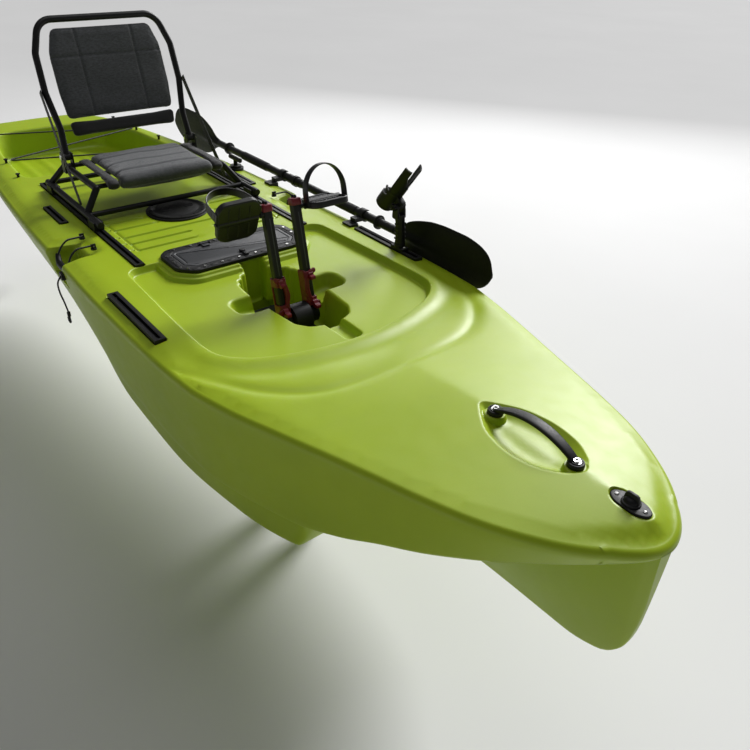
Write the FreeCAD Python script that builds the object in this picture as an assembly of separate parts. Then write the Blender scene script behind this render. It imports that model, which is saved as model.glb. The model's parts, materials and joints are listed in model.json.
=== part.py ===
import FreeCAD, Part
import math
import os

# Sit-on-top pedal boat with a two-arm flapping-fin drive, in millimetres.
# X runs forward to the bow, Y to port, Z up. The origin is on the centreline, at half
# the hull's length, on the underside of the keel.

V = FreeCAD.Vector
X_AXIS = V(1, 0, 0)
Y_AXIS = V(0, 1, 0)
Z_AXIS = V(0, 0, 1)
SIDES = {"starboard": -1, "port": 1}

# ---- driving dimensions -------------------------------------------------------------
HULL_LENGTH = 3500.0
STERN = -HULL_LENGTH / 2
WALL = 4.5                      # rotomoulded polyethylene
KEEL_TRIM = 20.0                # depth of the block that trims the keel's underside flat
DECK = 370.0                    # flat deck beside the cockpit
COCKPIT_FLOOR = 350.0
GAP = 0.3                       # between curved faces of different bodies
SEAT_GAP = 0.02                 # radial running fit of a pin

DRIVE_X = 575.0                 # crank axis of the drive
DRIVE_Z = 290.0
ARM_Y = 45.0                    # each crank arm stands this far off the centreline
ARM_LEAN = 13.0                 # degrees that both arms lean aft at rest
ARM_LENGTH = 318.0
ARM_RADIUS = 13.0
ARM_FOOT = 34.0                 # the arm's foot stands this far up its socket
SHAFT_RADIUS = 9.0
SPINDLE_RADIUS = 5.0
PEDAL_REACH = 300.0             # crank axis to pedal axis
PEDAL_TURN = {"starboard": -74.0, "port": -12.0}
DRIVE = (DRIVE_X, 0, DRIVE_Z)
PEDAL_Y = 132.0
STRAP_AHEAD = 22.0              # toe strap ahead of the pedal axis
FIN_Z = -28.0                   # sweep axis of both fins, just below the keel
FRONT_FIN_X = 490.0
REAR_FIN_X = 660.0
AXLE_RADIUS = 6.0
MAST_RADIUS = 5.0
FIN_DEPTH = 400.0

RAIL_Y = 284.0
RAIL_FRONT = 175.0
RAIL_REAR = -700.0
TRACK_Y = 417.0
SLOT_HALF = 4.5                 # throat of a track, over its pocket for T-bolts
POCKET_HALF = 9.0
POCKET_LOW = 4.0                # pocket floor and roof above the underside of a track
POCKET_HIGH = 10.0
NUT_HALF = 8.5                  # T-nut that runs in the pocket
NUT_LOW = 6.2
NUT_HIGH = 9.6

PADDLE_Y = 472.0
PADDLE_Z = 392.0
PADDLE_FRONT = 860.0
PADDLE_LENGTH = 2040.0
PADDLE_TUBE = 14.5              # radius of the shaft
GRIP_RADIUS = 16.5
BLADE_LENGTH = 430.0
BLADE_HALF = 84.0
PADDLE_MID = PADDLE_FRONT - PADDLE_LENGTH / 2
BLADE_ROOT = PADDLE_LENGTH / 2 - BLADE_LENGTH   # from the middle of the paddle
CLIPS_X = (-240.0, 262.0)
DECK_EDGE_SEAT = 360.0

SEAT_HALF = 232.0               # side tubes of the seat frame
SEAT_TUBE = 11.0
PAN_Z = 466.0
PAN_FRONT = -262.0
PAN_REAR = -560.0
RUNNER_Z = 396.0                # lower bars of the seat base, just above the rails
BACK_PIVOT_X = -520.0
BACK_PIVOT_Z = 506.0
BACK_LEAN = 16.0
BACK_HEIGHT = 430.0
PANEL_THICK = 22.0

HATCH_REAR = 132.0
HATCH_FRONT = 318.0
HATCH_HALF = 218.0
HATCH_TOP = 380.0
HATCH_HINGE = (160.0, 384.5)    # x and z of the lid's hinge line
ROUND_HATCH_X = -176.0
ROUND_HATCH_R = 105.0

BOW_BOLTS = (1322.0, 1530.0)
HANDLE_SEAT = 397.0             # flat of the recess under the bow handle
PLUG_X = 1654.0
PLUG_SEAT = 391.0
TRACK_SEAT = 361.0              # floor of the recesses that hold the tracks and rails
TRACK_THICK = 14.0
EYES_X = (-115.0, -15.0)
EYE_Y = 350.0

RUDDER_X = STERN - 50.0         # steering axis of the rudder
KICK_X = STERN - 98.0           # kick-up axis of the blade
KICK_Z = 290.0
KNOB_X = -470.0
KNOB_Y = 392.0
RUDDER_PIN = 6.0                # radii of the pins
KICK_PIN = 5.0
STEER_PIN = 8.0

ROD_X = 517.0
ROD_KNUCKLE = (507.0, 508.0)    # x and z of the tilt pin
ROD_TILT = 39.0
ROD_BORE = 22.0
ROD_TUBE = 27.0
ROD_LENGTH = 172.0
ROD_PIN = 4.0
SWIVEL_PIN = 8.0
BACK_PIN = 5.0
HINGE_PIN = 2.0
LOOP_RADIUS = 3.0               # cord loops of the side handles
EYE_HOLE = 3.6

TANK_CORD_Z = 375.0
HOOKS = [(-830, 336), (-1040, 322), (-1250, 306), (-1460, 280)]
CORD_RADIUS = 2.5
CORD_ROUTE = [
    (24.0, -472.0, 329.0), (34.0, -486.0, 314.0), (46.0, -489.0, 290.0),
    (58.0, -486.0, 262.0), (74.0, -485.0, 236.0),
]

CUT_TOP = 460.0                 # above everything that is sunk into the deck

# Upper body: x, half width at the deck edge, deck edge height, deck middle height,
# how much of the crown is a gable (0 flat, 1 gable), chine height, tuck of the chine.
DECK_STATIONS = [
    (-1750, 200, 338, 350, 0.2, 120, 60),
    (-1690, 262, 342, 354, 0.2, 110, 80),
    (-1500, 332, 346, 358, 0.0, 95, 100),
    (-1150, 392, 350, 364, 0.0, 90, 105),
    (-700, 434, 354, 370, 0.0, 90, 100),
    (-300, 455, 356, 370, 0.0, 90, 88),
    (0, 463, 357, 370, 0.0, 90, 60),
    (450, 468, 358, 370, 0.0, 90, 30),
    (800, 454, 360, 370, 0.0, 90, 27),
    (1000, 407, 362, 378, 0.5, 92, 26),
    (1125, 364, 366, 390, 0.9, 102, 24),
    (1250, 324, 369, 400, 1.0, 152, 20),
    (1400, 277, 371, 404, 1.0, 212, 17),
    (1550, 216, 372, 403, 1.0, 277, 15),
    (1650, 150, 372, 398, 1.0, 318, 12),
    (1712, 82, 371, 391, 1.0, 336, 8),
    (1748, 28, 368, 382, 1.0, 346, 3),
]
# Keel: x, half width at the bottom, half width at the top, bottom height. Its lowest run is
# trimmed flat at z 0 afterwards.
KEEL_STATIONS = [
    (1740, 8, 20, 130),
    (1722, 12, 30, 62),
    (1680, 15, 42, 18),
    (1600, 18, 56, -1),
    (1400, 24, 80, -1),
    (1125, 50, 108, -1),
    (800, 80, 124, -1),
    (300, 80, 124, -1),
    (-400, 62, 118, -1),
    (-1100, 40, 96, 4),
    (-1600, 20, 60, 34),
    (-1735, 10, 34, 80),
]
# Sponsons: x, inner wall, outer bottom edge, bottom height.
SPONSON_STATIONS = [
    (1105, 262, 328, 70),
    (1075, 252, 348, 14),
    (900, 240, 394, 8),
    (600, 230, 424, 6),
    (300, 226, 418, 6),
    (0, 214, 385, 10),
    (-300, 196, 337, 12),
    (-800, 170, 292, 20),
    (-1300, 140, 236, 36),
    (-1640, 110, 180, 66),
]

# Half outlines of what is sunk into the deck, as (x, y).
COCKPIT = [(181, 330), (680, 345), (738, 343), (789, 300), (827, 232), (855, 140), (870, 50)]
WELL = [(310, 34), (350, 34), (372, 84), (480, 95), (600, 88), (717, 73), (742, 40)]
TANK = [(-1540, 190), (-1500, 250), (-1200, 296), (-860, 316), (-800, 300)]
LEAF = [(1276, 8), (1330, 40), (1420, 52), (1500, 40), (1556, 8)]
PLUG_OVAL = [(1612, 10), (1628, 21), (1680, 21), (1696, 10)]

# Tracks and rails: rear end, front end, distance off the centreline, half width.
TRACK_PLACES = [(302.0, 609.0, TRACK_Y, 15.0), (-450.0, -270.0, 352.0, 13.0)]
RAIL_PLACES = [(RAIL_REAR, RAIL_FRONT, RAIL_Y, 14.0)]
ROUND_POCKET = (84.0, 270.0)    # radius and floor height
PLUG_HOLE = 14.0


# ---- helpers ------------------------------------------------------------------------
def box(x0, x1, y0, y1, z0, z1):
    return Part.makeBox(x1 - x0, y1 - y0, z1 - z0, V(x0, y0, z0))


def cylinder(centre, axis, radius, length):
    """A cylinder centred on a point."""
    axis = V(axis).normalize()
    return Part.makeCylinder(radius, length, V(centre) - axis * (length / 2), axis)


def pin(start, end, radius):
    """A cylinder from one point to another."""
    run = V(end) - V(start)
    return Part.makeCylinder(radius, run.Length, V(start), run)


def prism(outline, z0, z1):
    """An outline of (x, y) points stood up from z0 to z1."""
    points = [V(x, y, z0) for x, y in outline]
    face = Part.Face(Part.makePolygon(points + points[:1]))
    return face.extrude(V(0, 0, z1 - z0))


def wall_prism(outline, y0, y1):
    """An outline of (x, z) points carried sideways from y0 to y1."""
    points = [V(x, y0, z) for x, z in outline]
    face = Part.Face(Part.makePolygon(points + points[:1]))
    return face.extrude(V(0, y1 - y0, 0))


def grown(outline, by):
    """A convex-ish outline pushed outward from its own middle by a distance."""
    cx = (min(p[0] for p in outline) + max(p[0] for p in outline)) / 2
    result = []
    for x, y in outline:
        step_x = by if x > cx else -by
        step_y = by if y > 0 else -by
        result.append((x + step_x, y + step_y))
    return result


def bend_wire(points, bend):
    """Straight runs joined by tangent arcs of one radius, or less where a run is short."""
    points = [V(*p) for p in points]
    edges = []
    last = points[0]
    for before, here, after in zip(points, points[1:], points[2:]):
        back = before - here
        ahead = after - here
        turn = math.pi - back.getAngle(ahead)
        reach = min(bend * math.tan(turn / 2), 0.45 * min(back.Length, ahead.Length))
        radius = reach / math.tan(turn / 2)
        back.normalize()
        ahead.normalize()
        start = here + back * reach
        end = here + ahead * reach
        middle_way = (back + ahead).normalize()
        centre_distance = radius / math.cos(turn / 2)
        middle = here + middle_way * (centre_distance - radius)
        edges.append(Part.LineSegment(last, start).toShape())
        edges.append(Part.Arc(start, middle, end).toShape())
        last = end
    edges.append(Part.LineSegment(last, points[-1]).toShape())
    return Part.Wire(edges)


def tube(points, radius, bend=40.0):
    """A round bar bent through the points."""
    path = bend_wire(points, bend)
    start = V(*points[0])
    way = V(*points[1]) - start
    ring = Part.Wire([Part.Circle(start, way, radius).toShape()])
    return path.makePipeShell([ring], True, True)


def bars(points, radius):
    """Straight round bars from point to point with a ball at each corner."""
    parts = [pin(start, end, radius) for start, end in zip(points, points[1:])]
    parts += [Part.makeSphere(radius, V(*corner)) for corner in points[1:-1]]
    return fuse(parts)


def strap(points, width, thickness, side):
    """A flat band in an XZ plane: points are (x, z), side is its middle y."""
    outer = []
    inner = []
    count = len(points)
    for index in range(count):
        low = points[max(index - 1, 0)]
        high = points[min(index + 1, count - 1)]
        run = math.hypot(high[0] - low[0], high[1] - low[1])
        normal = (-(high[1] - low[1]) / run, (high[0] - low[0]) / run)
        x, z = points[index]
        outer.append((x + normal[0] * thickness / 2, z + normal[1] * thickness / 2))
        inner.append((x - normal[0] * thickness / 2, z - normal[1] * thickness / 2))
    return wall_prism(outer + inner[::-1], side - width / 2, side + width / 2)


def loft(sections):
    wires = []
    for section in sections:
        points = [V(*p) for p in section]
        wires.append(Part.makePolygon(points + points[:1]))
    return Part.makeLoft(wires, True, True)


def fuse(shapes):
    return shapes[0].multiFuse(shapes[1:]).removeSplitter()


def mirrored(shape):
    return shape.mirror(V(0, 0, 0), Y_AXIS)


def turned(shape, centre, axis, degrees):
    copy = shape.copy()
    copy.rotate(V(*centre), axis, degrees)
    return copy


def group(shapes):
    return Part.makeCompound(shapes)


def save(name, shape):
    shape.exportStep("parts/" + name + ".step")


# ---- hull ---------------------------------------------------------------------------
def between(table, x, column):
    """A column's value at x, straight between two stations."""
    rows = sorted(table)
    for low, high in zip(rows, rows[1:]):
        if low[0] <= x <= high[0]:
            share = (x - low[0]) / (high[0] - low[0])
            return low[column] + share * (high[column] - low[column])
    raise ValueError("no station beside " + str(x))


def crown(share, gable):
    """How far the deck has dropped, 0 at the middle and 1 at the edge."""
    shoulder = max(0.0, (share - 0.86) / 0.14)
    return gable * share + (1 - gable) * shoulder


def upper_section(row, inset):
    x, half, edge, middle, gable, chine, tuck = row
    half = half - inset
    port = []
    for share in (0.0, 0.45, 0.86, 0.985):
        z = middle - (middle - edge) * crown(share, gable)
        port.append((share * half, z - inset))
    port.append((half, edge - 24))
    port.append((half - tuck, chine + inset))
    starboard = [(-y, z) for y, z in port[:0:-1]]
    station = pulled_in(x, inset)
    return [(station, y, z) for y, z in port + starboard]


def keel_section(row, inset):
    x, low_half, high_half, bottom = row
    top = between(DECK_STATIONS, x, 5) + 3 * WALL
    low_half = max(low_half - inset, 3)
    high_half = max(high_half - inset, 6)
    low = bottom if inset == 0 else max(bottom, 0) + inset
    x = pulled_in(x, inset)
    return [(x, -low_half, low), (x, low_half, low), (x, high_half, top), (x, -high_half, top)]


def sponson_section(row, inset):
    x, inner, outer, bottom = row
    chine = between(DECK_STATIONS, x, 5)
    wall = between(DECK_STATIONS, x, 1) - between(DECK_STATIONS, x, 6) - 4
    top = chine + 3 * WALL
    low = bottom + inset
    x = pulled_in(x, inset)
    return [
        (x, inner + inset, low),
        (x, outer - inset, low),
        (x, wall - inset, top),
        (x, inner + inset, top),
    ]


def hull_body(inset):
    """The hull's closed form, moved inward by inset on every side."""
    port = loft([sponson_section(row, inset) for row in SPONSON_STATIONS])
    bodies = [
        loft([upper_section(row, inset) for row in DECK_STATIONS]),
        loft([keel_section(row, inset) for row in KEEL_STATIONS]),
        port,
        mirrored(port),
    ]
    return fuse(bodies)


def pulled_in(x, inset):
    """A station's place on the inner form, drawn in a little from both ends."""
    return x * (1 - 4 * inset / HULL_LENGTH)


def both_sides(half_outline):
    return half_outline + [(x, -y) for x, y in half_outline[::-1]]


def sunk_shapes():
    """Each form sunk into the deck: its outline and the height of its floor."""
    shapes = [
        (both_sides(WELL), 232.0),
        ([(490, -175), (490, 175), (572, 175), (572, -175)], 306.0),
        ([(330, -50), (330, 50), (735, 50), (735, -50)], -60.0),
        ([(720, -27), (720, 27), (838, 27), (838, -27)], 332.0),
        (hatch_outline(-44), 262.0),
        (both_sides(TANK), 236.0),
        (both_sides(LEAF), HANDLE_SEAT),
        (both_sides(PLUG_OVAL), PLUG_SEAT),
    ]
    for side in SIDES.values():
        for x0, x1, y, half in TRACK_PLACES + RAIL_PLACES:
            low = side * y - half - 1
            high = side * y + half + 1
            shapes.append(([(x0 - 6, low), (x0 - 6, high), (x1 + 6, high), (x1 + 6, low)], TRACK_SEAT))
        notch = [(-135, 388), (-120, 372), (-5, 372), (10, 388), (10, 520), (-135, 520)]
        shapes.append(([(x, side * y) for x, y in notch], 276.0))
    return shapes


def moulded_cuts(skin):
    """Everything sunk into the deck, grown by the skin thickness for the inner form."""
    radius, floor = ROUND_POCKET
    cuts = [prism(grown(outline, skin), low - skin, CUT_TOP) for outline, low in sunk_shapes()]
    cuts.append(Part.makeCylinder(radius + skin, CUT_TOP - floor, V(ROUND_HATCH_X, 0, floor - skin)))
    cuts.append(Part.makeCylinder(PLUG_HOLE + skin, 120, V(PLUG_X, 0, PLUG_SEAT - 60)))
    return cuts


def hatch_outline(margin):
    """The eight-sided outline of the long hatch, with its cut corners."""
    corner = 44.0
    half = HATCH_HALF + margin
    front = HATCH_FRONT + margin
    rear = HATCH_REAR - margin
    starboard = [(rear, -half + 30), (rear + 30, -half), (front - corner, -half), (front, -half + corner)]
    return starboard + [(x, -y) for x, y in starboard[::-1]]


def hull_form(skin):
    """The hull's outside at skin 0, or the inside of its wall."""
    cockpit = prism(grown(both_sides(COCKPIT), skin), COCKPIT_FLOOR - skin, CUT_TOP)
    plinth = prism(hatch_outline(14.0 - skin), COCKPIT_FLOOR - 30, DECK - skin)
    form = hull_body(skin).cut(cockpit).fuse(plinth).cut(moulded_cuts(skin))
    if skin == 0:
        form = form.cut(box(STERN, -STERN, -RAIL_Y, RAIL_Y, -KEEL_TRIM, 0))
    return form


def make_hull():
    """One hollow rotomoulded shell with the cockpit, drive well and pockets moulded in."""
    return hull_form(0.0).cut(hull_form(WALL))


# ---- fittings on the deck -----------------------------------------------------------
def make_carry_handle(x0, x1, seat, rise, width):
    """An arched moulded handle between two bolt pads."""
    steps = 10
    arch = []
    for step in range(steps + 1):
        share = step / steps
        x = x0 + share * (x1 - x0)
        arch.append((x, seat + 5 + rise * math.sin(math.pi * share) ** 0.7))
    grip = strap(arch, width, 9.0, 0)
    pads = [Part.makeCylinder(15.5, 9, V(x, 0, seat)) for x in (x0, x1)]
    handle = fuse([grip] + pads)
    for x in (x0, x1):
        handle = handle.cut(Part.makeCylinder(11.0, 40, V(x, 0, seat + 9)))
        handle = handle.cut(Part.makeCylinder(4.0, 40, V(x, 0, seat - 10)))
    return handle


def make_bolts(places, seat, head_radius, head_height, shank_radius, shank_length):
    """Cup washer, domed head and shank of each bolt, one solid each."""
    bolts = []
    for x, y in places:
        washer = Part.makeCylinder(head_radius * 1.5, 2, V(x, y, seat))
        head = Part.makeCylinder(head_radius, head_height + 2, V(x, y, seat))
        shank = Part.makeCylinder(shank_radius, shank_length, V(x, y, seat - shank_length))
        bolts.append(fuse([washer, head, shank]))
    return group(bolts)


def make_drain_base():
    oval = prism(grown(both_sides(PLUG_OVAL), -1), PLUG_SEAT, PLUG_SEAT + 5)
    return oval.cut(Part.makeCylinder(PLUG_HOLE, 20, V(PLUG_X, 0, PLUG_SEAT - 5)))


def make_drain_plug():
    """Screw plug with a domed cap and a fin to turn it by."""
    flange = Part.makeCylinder(18, 4, V(PLUG_X, 0, PLUG_SEAT + 5 + GAP))
    dome = Part.makeCone(14, 9, 7, V(PLUG_X, 0, PLUG_SEAT + 9 + GAP))
    stem = Part.makeCylinder(PLUG_HOLE - GAP, 30, V(PLUG_X, 0, PLUG_SEAT - 24))
    fin = box(PLUG_X - 16, PLUG_X + 16, -3, 3, PLUG_SEAT + 9, PLUG_SEAT + 28)
    return fuse([flange, dome, stem, fin])


def channel(x0, x1, y, half):
    """A C-channel track that is open along its top."""
    base = TRACK_SEAT
    body = box(x0, x1, y - half, y + half, base, base + TRACK_THICK)
    slot = box(x0 + 8, x1 - 8, y - SLOT_HALF, y + SLOT_HALF, base + POCKET_LOW, base + TRACK_THICK + 1)
    pocket = box(x0 + 8, x1 - 8, y - POCKET_HALF, y + POCKET_HALF, base + POCKET_LOW, base + POCKET_HIGH)
    return body.cut(slot).cut(pocket)


def make_tracks():
    tracks = []
    for side in SIDES.values():
        for x0, x1, y, half in TRACK_PLACES:
            tracks.append(channel(x0, x1, side * y, half))
    return group(tracks)


def make_rails():
    x0, x1, y, half = RAIL_PLACES[0]
    return group([channel(x0, x1, side * y, half) for side in SIDES.values()])


def make_track_screws():
    """Countersunk screws in the bottom of every track."""
    screws = []
    for side in SIDES.values():
        for x0, x1, y, half in TRACK_PLACES + RAIL_PLACES:
            count = max(2, round((x1 - x0) / 150))
            for index in range(count):
                x = x0 + 22 + index * (x1 - x0 - 44) / (count - 1)
                head = Part.makeCylinder(4.0, 2, V(x, side * y, TRACK_SEAT + POCKET_LOW))
                shank = Part.makeCylinder(2.2, 16, V(x, side * y, TRACK_SEAT - 12))
                screws.append(head.fuse(shank))
    return group(screws)


def make_deck_eyes():
    """Bolted eyes that hold the side handles, with the rings of the paddle side."""
    eyes = []
    for side in SIDES.values():
        for x in EYES_X:
            foot = Part.makeCylinder(9, 5, V(x, side * EYE_Y, DECK))
            post = box(x - 3, x + 3, side * EYE_Y - 7, side * EYE_Y + 7, DECK + 4, DECK + 17)
            hole = cylinder((x, side * EYE_Y, DECK + 10), X_AXIS, EYE_HOLE, 20)
            eyes.append(foot.fuse(post).cut(hole))
    return group(eyes)


def make_side_handle(side):
    """A moulded grip on two cord loops that swing from toggles in the deck eyes."""
    x0, x1 = EYES_X
    eye_z = DECK + 10
    parts = []
    for x, way in ((x0, 1), (x1, -1)):
        parts.append(pin((x - 9, side * EYE_Y, eye_z), (x + 9, side * EYE_Y, eye_z), LOOP_RADIUS))
        loop_x = x + way * 7
        parts.append(bars([(loop_x, side * EYE_Y, eye_z), (loop_x, side * 398, eye_z - 1),
                           (loop_x, side * 431, 341)], LOOP_RADIUS))
    grip = tube([(x0 - 3, side * 431, 341), (x0 + 20, side * 438, 318),
                 (x1 - 20, side * 438, 318), (x1 + 3, side * 431, 341)], 10.5, 22)
    return fuse([grip] + parts)


# ---- hatches ------------------------------------------------------------------------
def make_hatch_frame():
    """Flanged frame with a rebate for the lid and lugs for its hinge."""
    frame = prism(hatch_outline(0), DECK, HATCH_TOP).cut(prism(hatch_outline(-30), DECK - 1, 400))
    hinge_x, hinge_z = HATCH_HINGE
    lugs = []
    for side in SIDES.values():
        for y in (54, 86):
            lugs.append(box(hinge_x - 6, hinge_x + 2.5, side * y - 3, side * y + 3, HATCH_TOP - 2, 389))
            lugs.append(box(hinge_x - 18, hinge_x - 5, side * y - 3, side * y + 3, HATCH_TOP - 2, 385))
    frame = fuse([frame] + lugs)
    for side in SIDES.values():
        frame = frame.cut(cylinder((hinge_x, side * 70, hinge_z), Y_AXIS, HINGE_PIN, 44))
    return frame


def make_hatch_pins():
    x, z = HATCH_HINGE
    return group([cylinder((x, side * 70, z), Y_AXIS, HINGE_PIN, 40) for side in SIDES.values()])


def make_hatch_gasket():
    ring = prism(hatch_outline(-31.5), DECK, DECK + 2.5)
    return ring.cut(prism(hatch_outline(-43), DECK - 1, HATCH_TOP))


def make_hatch_lid():
    x, z = HATCH_HINGE
    lid = prism(hatch_outline(-31), DECK + 2.8, HATCH_TOP + 0.6)
    parts = [lid]
    for side in SIDES.values():
        parts.append(cylinder((x, side * 70, z), Y_AXIS, 3.4, 24))
        parts.append(box(x, x + 16, side * 70 - 12, side * 70 + 12, HATCH_TOP + 0.6, z - 0.4))
    lid = fuse(parts)
    for side in SIDES.values():
        lid = lid.cut(cylinder((x, side * 70, z), Y_AXIS, HINGE_PIN + SEAT_GAP, 60))
    return lid


def make_hatch_latch():
    """Turn-button whose tongue lies over the frame."""
    top = HATCH_TOP + 0.9
    button = Part.makeCylinder(10, 7, V(272, 0, top))
    tongue = box(272, 302, -7, 7, top, top + 4)
    return button.fuse(tongue)


def make_hatch_screws():
    """Pan-head screws round the flange of the long hatch."""
    places = []
    for side in SIDES.values():
        places += [(303, side * y) for y in (28, 84, 140)]
        places += [(147, side * y) for y in (28, 110, 165)]
        places += [(x, side * 203) for x in (180, 228, 272)]
        places.append((290, side * 188))
    screws = []
    for x, y in places:
        head = Part.makeCylinder(4.0, 2.4, V(x, y, HATCH_TOP))
        screws.append(head.fuse(Part.makeCylinder(2.0, 18, V(x, y, HATCH_TOP - 18))))
    return group(screws)


def make_round_ring():
    ring = Part.makeCylinder(ROUND_HATCH_R, 6, V(ROUND_HATCH_X, 0, DECK))
    sleeve = Part.makeCylinder(ROUND_POCKET[0] - GAP, 20, V(ROUND_HATCH_X, 0, DECK - 14))
    return ring.fuse(sleeve).cut(Part.makeCylinder(80, 60, V(ROUND_HATCH_X, 0, DECK - 30)))


def make_round_lid():
    """Bayonet lid with two finger hollows in its face."""
    lid = Part.makeCylinder(97, 5, V(ROUND_HATCH_X, 0, DECK + 6 + GAP))
    skirt = Part.makeCylinder(79, 10, V(ROUND_HATCH_X, 0, DECK - 3))
    hollow = Part.makeCylinder(74, 12, V(ROUND_HATCH_X, 0, DECK - 8))
    lid = lid.fuse(skirt).cut(hollow)
    for side in SIDES.values():
        lid = lid.cut(box(ROUND_HATCH_X - 9, ROUND_HATCH_X + 9, side * 42 - 16, side * 42 + 16,
                          DECK + 8.5, DECK + 20))
    return lid


# ---- paddle and its clips -----------------------------------------------------------
def blade_outline(root, tip):
    """An asymmetric paddle blade in side view, as (x, z) points."""
    length = tip - root
    upper = [(0.0, 0.17), (0.16, 0.62), (0.40, 0.96), (0.66, 1.0), (0.88, 0.86), (0.98, 0.5)]
    lower = [(1.0, 0.0), (0.93, -0.55), (0.72, -0.9), (0.45, -0.98), (0.2, -0.66), (0.0, -0.17)]
    return [(root + length * u, PADDLE_Z + BLADE_HALF * v) for u, v in upper + lower]


def make_blade(root, tip):
    plate = wall_prism(blade_outline(root, tip), PADDLE_Y - 3.5, PADDLE_Y + 3.5)
    way = 1 if tip > root else -1
    spine = Part.makeCone(14.9, 5.0, 210, V(root, PADDLE_Y, PADDLE_Z), V(way, 0, 0))
    return plate.fuse(spine)


def make_paddle_shaft():
    return cylinder((PADDLE_MID, PADDLE_Y, PADDLE_Z), X_AXIS, PADDLE_TUBE, BLADE_ROOT * 2)


def shaft_sleeves(places, radius, length):
    """Sleeves pushed over the shaft, at distances either side of its middle."""
    sleeves = []
    for place in places:
        outer = cylinder((PADDLE_MID + place, PADDLE_Y, PADDLE_Z), X_AXIS, radius, length)
        bore = cylinder((PADDLE_MID + place, PADDLE_Y, PADDLE_Z), X_AXIS, PADDLE_TUBE, length + 2)
        sleeves.append(outer.cut(bore))
    return group(sleeves)


def make_paddle_clips():
    """Two moulded hooks on the port deck edge, open outboard, that hold the shaft."""
    clips = []
    for x in CLIPS_X:
        ring = cylinder((x, PADDLE_Y, PADDLE_Z), X_AXIS, 21.0, 26)
        arm = box(x - 13, x + 13, 425, PADDLE_Y - 14, 377, 391)
        foot = box(x - 22, x + 22, 398, 432, DECK_EDGE_SEAT, 377)
        clip = fuse([ring, arm, foot])
        clip = clip.cut(cylinder((x, PADDLE_Y, PADDLE_Z), X_AXIS, PADDLE_TUBE + GAP, 40))
        mouth = box(x - 20, x + 20, PADDLE_Y, PADDLE_Y + 40, PADDLE_Z - 15.2, PADDLE_Z + 15.2)
        clips.append(clip.cut(mouth))
    return group(clips)


# ---- rod holder ---------------------------------------------------------------------
def make_rod_base():
    """Foot that slides on the front port track, with its two screws and T-nut."""
    top = TRACK_SEAT + TRACK_THICK
    plate = box(ROD_X - 30, ROD_X + 30, TRACK_Y - 16, TRACK_Y + 16, top + GAP, top + 8)
    boss = Part.makeCylinder(17, 14, V(ROD_X, TRACK_Y, top + 7))
    neck = box(ROD_X - 12, ROD_X + 12, TRACK_Y - 4, TRACK_Y + 4, TRACK_SEAT + 6, top + 4)
    nut = box(ROD_X - 18, ROD_X + 18, TRACK_Y - NUT_HALF, TRACK_Y + NUT_HALF,
              TRACK_SEAT + NUT_LOW, TRACK_SEAT + NUT_HIGH)
    base = fuse([plate, boss, neck, nut])
    base = base.cut(Part.makeCylinder(SWIVEL_PIN + SEAT_GAP, 30, V(ROD_X, TRACK_Y, top + 9)))
    screws = [Part.makeCylinder(4.5, 4, V(ROD_X + step, TRACK_Y, top + 8)) for step in (-22, 22)]
    return fuse([base] + screws)


def make_rod_post():
    """Upright that swivels in the foot and ends in a pair of ears."""
    x, z = ROD_KNUCKLE
    low = TRACK_SEAT + TRACK_THICK + 21 + GAP
    stem = Part.makeCylinder(13, 478 - low, V(ROD_X, TRACK_Y, low))
    spigot = Part.makeCylinder(SWIVEL_PIN, 15, V(ROD_X, TRACK_Y, low - 12))
    parts = [stem, spigot]
    for side in (-1, 1):
        parts.append(box(x - 12, x + 12, TRACK_Y + side * 13 - 3, TRACK_Y + side * 13 + 3, 470, z))
        parts.append(cylinder((x, TRACK_Y + side * 13, z), Y_AXIS, 12, 6))
    parts.append(box(x - 12, x + 22, TRACK_Y - 16, TRACK_Y + 16, 468, 480))
    post = fuse(parts)
    return post.cut(cylinder((x, TRACK_Y, z), Y_AXIS, ROD_PIN, 60))


def make_rod_pin():
    x, z = ROD_KNUCKLE
    shank = cylinder((x, TRACK_Y, z), Y_AXIS, ROD_PIN, 34)
    knob = cylinder((x, TRACK_Y - 23, z), Y_AXIS, 11, 12)
    return shank.fuse(knob)


def make_rod_cradle():
    """Open tube that holds the rod's butt, tilted forward on its knuckle."""
    x, z = ROD_KNUCKLE
    tongue = cylinder((x, TRACK_Y, z), Y_AXIS, 10, 19.4)
    stalk = box(x - 9, x + 9, TRACK_Y - 9.7, TRACK_Y + 9.7, z, z + 22)
    outer = Part.makeCylinder(ROD_TUBE, ROD_LENGTH, V(x, TRACK_Y, z + 46 - 78))
    outer = outer.cut(Part.makeCylinder(ROD_BORE, 200, V(x, TRACK_Y, z + 46 - 72)))
    outer = outer.cut(box(x - 40, x, TRACK_Y - 12, TRACK_Y + 12, z + 40, z + 160))
    outer.translate(V(-44, 0, -18))
    bridge = box(x - 22, x + 4, TRACK_Y - 8, TRACK_Y + 8, z + 10, z + 30)
    cradle = fuse([outer, tongue, stalk, bridge])
    cradle = cradle.cut(cylinder((x, TRACK_Y, z), Y_AXIS, ROD_PIN + SEAT_GAP, 60))
    cradle = cradle.cut(Part.makeCylinder(ROD_BORE, 200, V(x - 44, TRACK_Y, z + 46 - 90)))
    return turned(cradle, (x, TRACK_Y, z), Y_AXIS, ROD_TILT)


# ---- flapping-fin drive -------------------------------------------------------------
def leaned(shape):
    """Lay an upright crank piece back to its rest angle."""
    return turned(shape, DRIVE, Y_AXIS, -ARM_LEAN)


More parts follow.
